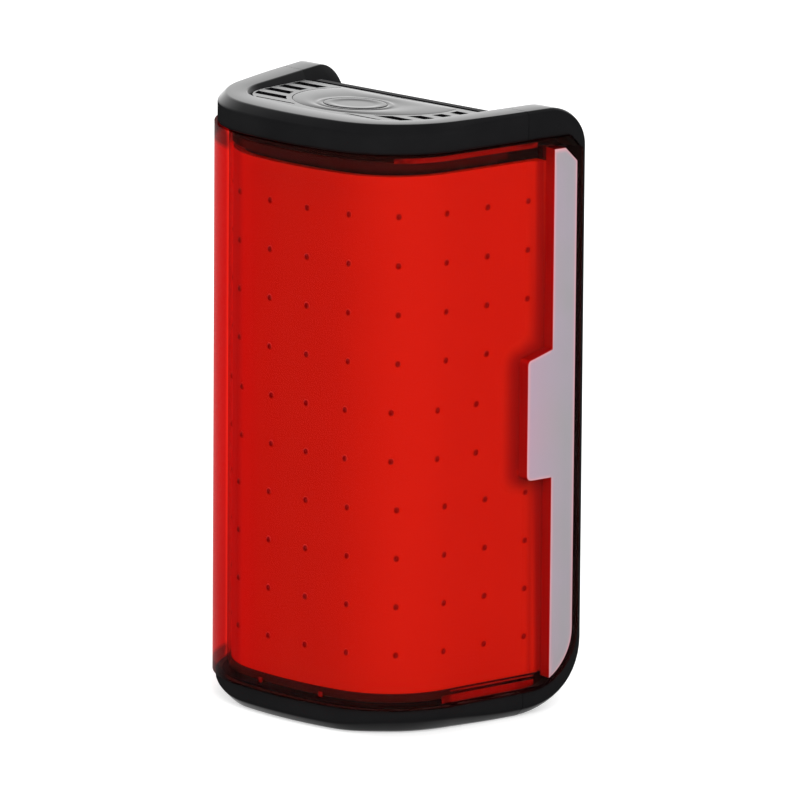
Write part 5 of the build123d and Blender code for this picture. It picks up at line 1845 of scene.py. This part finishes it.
@dataclass(kw_only=True)
class RearShell(ArmPart):
    """The rear shell: two rails that frame the lens at each side, and the web between them."""

    outlines: Outlines
    seam_y: float = 5.96 * MM
    top_radius: float = 4.6 * MM
    bottom_radius: float = 8.0 * MM
    gap: float = 0.05 * MM
    wall_inset: float = 3.4 * MM
    rear_chamfer: float = 0.12 * MM
    foot_chamfer: float = 1.1 * MM
    most_chamfer: float = 0.8
    seat_bend: float = 0.0175 * MM
    corner_steps: int = 14
    arm_steps: int = 4
    rear_steps: int = 6
    wall_columns: int = 4
    web: tuple[float, float] = (4.75 * MM, 5.85 * MM)
    web_z: tuple[float, float] = (3.0 * MM, 64.4 * MM)
    insert_radius: float = 2.01 * MM
    insert_z: tuple[float, float] = (21.85 * MM, 45.85 * MM)
    hole_turns: int = 33
    ring_steps: int = 3

    def outer_path(self) -> tuple[np.ndarray, np.ndarray]:
        """Outer outline in side view, from the top seam round the rear to the bottom seam.

        Returns:
            Y and z of its points: top, round corner, rear, round corner.
        """
        high, low, rear = self.top_radius, self.bottom_radius, self.plan.rear
        turn = np.linspace(0, math.pi / 2, self.corner_steps)
        start = math.asin((self.seam_y - rear + low) / low)
        low_turn = np.linspace(math.pi / 2, start, self.corner_steps)
        y = np.concatenate([
            np.linspace(self.seam_y, rear - high, self.arm_steps, endpoint=False),
            rear - high + high * np.sin(turn),
            np.full(self.rear_steps, rear), rear - low + low * np.sin(low_turn)])
        z = np.concatenate([
            np.full(self.arm_steps, self.top), self.top - high + high * np.cos(turn),
            np.linspace(self.top - high, low, self.rear_steps + 2)[1:-1], low - low * np.cos(low_turn)])
        return y, z

    def seat_path(self) -> tuple[np.ndarray, np.ndarray]:
        """The lens seat's outline in side view, with as many points as the outer one.

        Returns:
            Y and z of its points: under the arm, along the cut corner, down the rear, round the bottom.
        """
        lens = self.outlines.lens()
        top, rear = lens.top + self.gap, lens.rear + self.gap
        cut = np.linspace(0, 1, self.corner_steps)
        turn = np.linspace(math.pi / 2, 0, self.corner_steps - 1)
        radius = lens.arc_radius + self.gap
        y = np.concatenate([
            np.linspace(self.seam_y, rear - lens.cut, self.arm_steps, endpoint=False),
            rear - lens.cut + lens.cut * cut,
            np.full(self.rear_steps, rear), lens.arc_y + radius * np.sin(turn), [self.seam_y]])
        z = np.concatenate([
            np.full(self.arm_steps, top), top - lens.cut * cut,
            np.linspace(top - lens.cut, lens.arc_z, self.rear_steps + 2)[1:-1],
            lens.arc_z - radius * np.cos(turn), [lens.arc_z - radius]])
        return y, z

    def frame_bar(self) -> np.ndarray:
        """The bar that frames the lens: its section, carried along the outline.

        The section has the outer side, a chamfer, the outer edge, the channel's wall and the
        seat. The chamfer is narrow from the arm round the rear and widens at the foot. A corner
        is a share of the way from the seat's outline to the outer one, and an inset; the shares
        are made lengths while the corners are bent.

        Returns:
            Points by place along the outline and place round the section.
        """
        outer_y, outer_z = self.outer_path()
        seat_y, seat_z = self.seat_path()
        foot = np.clip(1 - outer_z / self.bottom_radius, 0, 1)
        arm = np.clip((outer_z - self.top + self.top_radius) / self.top_radius, 0, 1)
        cut = self.rear_chamfer + (self.foot_chamfer - self.rear_chamfer) * foot**4
        cut = cut + (self.arm_chamfer - self.rear_chamfer) * arm**2
        span = np.hypot(outer_y - seat_y, outer_z - seat_z)
        back, flat = np.minimum(cut / span, self.most_chamfer), np.ones_like(cut)
        section = sections(
            flat, (0, self.inset), (1 - back, self.inset), (1, self.inset + cut),
            (1, self.rim_inset - self.draft * arm), (0, self.rim_inset),
        )
        scale = by_place(flat, span, 1)[:, None, :]
        wide = cut * self.bend_share
        bend = by_place(flat, self.edge / 2, wide, wide, self.edge, self.seat_bend)
        path = rounded_path(section * scale, bend, self.bend_steps) / scale
        share, inset = path[..., 0], path[..., 1]
        y = seat_y[:, None] + (outer_y - seat_y)[:, None] * share
        z = seat_z[:, None] + (outer_z - seat_z)[:, None] * share
        return self.plan.points(self.plan.end(y, inset), inset, z)

    def side_wall(self) -> tuple[np.ndarray, np.ndarray]:
        """The thin wall behind the lens and the window, from the web to the seat's outline.

        Returns:
            Its outer side and its channel side, by row and column.
        """
        seat_y, seat_z = self.seat_path()
        share = np.linspace(0, 1, self.wall_columns)
        y = blend(np.full_like(seat_y, self.web[0]), seat_y, share)
        z = blend(np.clip(seat_z, *self.web_z), seat_z, share)
        outer, inner = (
            self.plan.points(self.plan.end(y, inset), inset, z)
            for inset in (self.wall_inset, self.rim_inset)
        )
        return outer, inner

    def web_slab(self, surface: Surface) -> None:
        """Adds the web: a flat wall with a round hole for each insert.

        Round a hole the wall is a ring from the circle to a square, and plain bands lie above,
        between and below the squares.

        Args:
            surface: what the web is added to.
        """
        half = float(self.plan.side_x(self.web[0], self.wall_inset))
        square = 2 * self.insert_radius
        turn = np.linspace(0, 2 * math.pi, self.hole_turns)
        circle = np.stack([np.cos(turn), np.sin(turn)], -1) * self.insert_radius
        edge = circle / np.maximum(np.abs(circle[:, :1]), np.abs(circle[:, 1:])) * square
        share = np.linspace(0, 1, self.ring_steps)[None, :, None]
        ring = circle[:, None, :] + (edge - circle)[:, None, :] * share
        levels = [self.web_z[0]]
        for middle in self.insert_z:
            across, up = ring[..., 0], middle + ring[..., 1]
            front, back = (np.stack([across, np.full_like(across, y), up], -1) for y in self.web)
            surface.add(front)
            surface.add(back[:, ::-1])
            surface.add(np.stack([front[:, 0], back[:, 0]]))
            levels += [middle - square, middle + square]
            for side in (-1, 1):
                self.add_plain(surface, (side * square, side * half), (middle - square, middle + square))
        levels.append(self.web_z[1])
        for low, high in zip(levels[::2], levels[1::2]):
            self.add_plain(surface, (-half, half), (low, high))

    def add_plain(self, surface: Surface, across: tuple[float, float], levels: tuple[float, float]) -> None:
        """Adds a plain band of the web, with its two faces and its outer edges.

        Args:
            surface: what the band is added to.
            across: its two sides.
            levels: its lower and upper edge.
        """
        x, z = np.meshgrid(np.array(sorted(across)), np.array(levels))
        front, back = (np.stack([x, np.full_like(x, y), z], -1) for y in self.web)
        surface.add_slab(front, back)

    def build(self, material: bpy.types.Material) -> None:
        """Builds the shell.

        Args:
            material: its finish.
        """
        surface = Surface()
        bar = self.frame_bar()
        outside, inside = self.side_wall()
        for side in (1, MIRROR):
            surface.add_tube(bar * side)
            surface.add_slab(outside * side, inside * side)
        self.web_slab(surface)
        piece = surface.build("rear_frame", SHELL_SHARP_DEGREES)
        set_out(piece, material, Body.LIGHT, Slot.SHELL, "rear_shell")


# Studio


def towards(azimuth: float, elevation: float) -> Vector:
    """Direction to a place at these angles from the light's front, in radians."""
    level = math.cos(elevation)
    return Vector((math.sin(azimuth) * level, -math.cos(azimuth) * level, math.sin(elevation)))


@dataclass(frozen=True)
class Camera:
    """The camera at the photograph's angle, from a fit of the photograph's edges."""

    azimuth: float = math.radians(41.99)
    elevation: float = math.radians(13.244)
    roll: float = math.radians(-0.45)
    distance: float = 1083.5 * MM
    lens: float = 449.9
    clip: tuple[float, float] = (0.05, 20.0)
    target: tuple[float, float, float] = (9.65 * MM, -5.01 * MM, 36.22 * MM)

    def build(self) -> None:
        """Puts the camera on the line back from the target and turns it by the roll."""
        back = towards(self.azimuth, self.elevation)
        right = Vector((math.cos(self.azimuth), math.sin(self.azimuth), 0))
        up = right.cross(-back)
        turned_right = right * math.cos(self.roll) - up * math.sin(self.roll)
        turned_up = right * math.sin(self.roll) + up * math.cos(self.roll)
        place = Matrix((turned_right, turned_up, back)).transposed().to_4x4()
        place.translation = Vector(self.target) + self.distance * back
        data = bpy.data.cameras.new("camera")
        data.lens, (data.clip_start, data.clip_end) = self.lens, self.clip
        camera = bpy.data.objects.new("camera", data)
        camera.matrix_world = place
        bpy.context.scene.collection.objects.link(camera)
        bpy.context.scene.camera = camera


@dataclass(frozen=True)
class Softbox:
    """A square lamp that looks at the middle of the light."""

    name: str
    azimuth: float
    elevation: float
    distance: float
    size: float
    power: float

    def build(self, target: Vector) -> None:
        """Hangs the lamp at its angle and turns it to the target, unseen in gloss.

        Args:
            target: the place that it looks at.
        """
        back = towards(math.radians(self.azimuth), math.radians(self.elevation))
        data = bpy.data.lights.new(self.name, "AREA")
        data.shape, data.size, data.energy = "SQUARE", self.size, self.power
        lamp = bpy.data.objects.new(self.name, data)
        lamp.location = target + back * self.distance
        lamp.rotation_mode = "QUATERNION"
        lamp.rotation_quaternion = back.to_track_quat("Z", "Y")
        lamp.visible_glossy = False
        bpy.context.scene.collection.objects.link(lamp)


@dataclass(frozen=True)
class Studio:
    """Pale floor, white surroundings and soft lamps."""

    floor_half: float = 3.0
    floor_drop: float = 0.02 * MM
    floor_shade: float = 0.8
    floor_cloud: float = 0.02
    floor_patch: float = 1 / 6
    floor_glow: float = 0.45
    fill: float = 0.5
    lamps: tuple[Softbox, ...] = (
        Softbox("key", 58, 36, 0.9, 0.6, 6.5),
        Softbox("fill_left", -75, 20, 1.0, 0.7, 7.5),
        Softbox("sky", 200, 50, 0.9, 0.8, 1.2),
    )

    def world(self) -> None:
        """White surroundings, which light the object at a lower level than they show."""
        world = bpy.data.worlds.new("studio")
        bpy.context.scene.world = world
        tree = Tree(world)
        light, shown = (
            tree.add("Background", {"Color": (1, 1, 1, 1), "Strength": strength}).outputs["Background"]
            for strength in (self.fill, 1)
        )
        tree.close(tree.either(tree.seen, light, shown))

    def floor(self) -> None:
        """A plain pale floor that shows white, keeps the shadow and is clear from below.

        The floor glows only for what sees it, so it lights the object no more than a matt one.
        """
        half, low = self.floor_half, -self.floor_drop
        mesh = bpy.data.meshes.new("floor")
        corners = [(-half, -half, low), (half, -half, low), (half, half, low), (-half, half, low)]
        mesh.from_pydata(corners, [], [(0, 1, 2, 3)])
        floor = bpy.data.objects.new("floor", mesh)
        bpy.context.scene.collection.objects.link(floor)
        tree = Tree(bpy.data.materials.new("pale_floor"))
        shade, other = (self.floor_shade,) * 3, (self.floor_shade - self.floor_cloud,) * 3
        colour = tree.patches(self.floor_patch, shade, other, detail=2.0)
        matt = tree.add("BsdfDiffuse", {"Color": colour})
        none, glow = (
            tree.add("Emission", {"Strength": strength}).outputs["Emission"]
            for strength in (0, self.floor_glow)
        )
        lit = tree.add("AddShader", {0: matt.outputs["BSDF"], 1: tree.either(tree.seen, none, glow)})
        below = tree.add("NewGeometry").outputs["Backfacing"]
        clear = tree.add("BsdfTransparent").outputs["BSDF"]
        mesh.materials.append(tree.close(tree.either(below, lit.outputs["Shader"], clear)))

    def build(self) -> None:
        """Builds the floor, the surroundings and the lamps."""
        self.floor()
        self.world()
        middle = (CAD_BOX[0] + CAD_BOX[1]) / 2
        for lamp in self.lamps:
            lamp.build(middle)
        bpy.context.scene.view_settings.view_transform = "Standard"


def dress_nodes() -> None:
    """Gives each CAD node that stays its finish, and rounds the edges of the outer ones.

    A CAD node's mesh is loose triangles, so an outer one is joined up first as it is drawn.
    """
    for finish, names in NODE_FINISHES.items():
        material = finish.material()
        for name in names:
            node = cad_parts[name]
            node.data.materials.clear()
            node.data.materials.append(material)
            LOG.info("%s: %s", name, finish.name)
    for name, width in SOFTENED_NODES.items():
        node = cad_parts[name]
        node.modifiers.new("weld", "WELD").merge_threshold = WELD
        soften(node, width)


def main() -> None:
    """Builds the light piece by piece, then the studio and the camera."""
    logging.basicConfig(level=logging.INFO, format="%(message)s")
    plan, outlines, deck = Plan(), Outlines(), Deck()
    dress_nodes()
    shell, soft = BLACK_SHELL.material(), SOFT_BLACK.material()
    milky = WindowFinish().material()
    OuterLens(plan, outlines).build(LensFinish().material())
    window, rim = SideWindow(plan, outlines), RIM_RED.material()
    window.build(milky, rim, 1, "side_window_right")
    window.build(milky, rim, -1, "side_window_left")
    # Sheets of painted shade beside each window.
    surround, sheet = WINDOW_SHADE_RED.material(), WindowShadeSheet(plan, outlines)
    for side in (1, -1):
        sheet.build(surround, side)
    LensRibStreaks(plan).build(RIB_STREAK_RED.material())
    LightDots(plan).build(DOT_RED.material())
    TopCap(plan=plan, deck=deck).build(shell)
    BottomCap(plan=plan).build(shell)
    ButtonPad(deck).build(soft)
    Button(deck).build(soft)
    RearShell(plan=plan, outlines=outlines).build(shell)
    Studio().build()
    Camera().build()


if __name__ == "__main__":
    main()
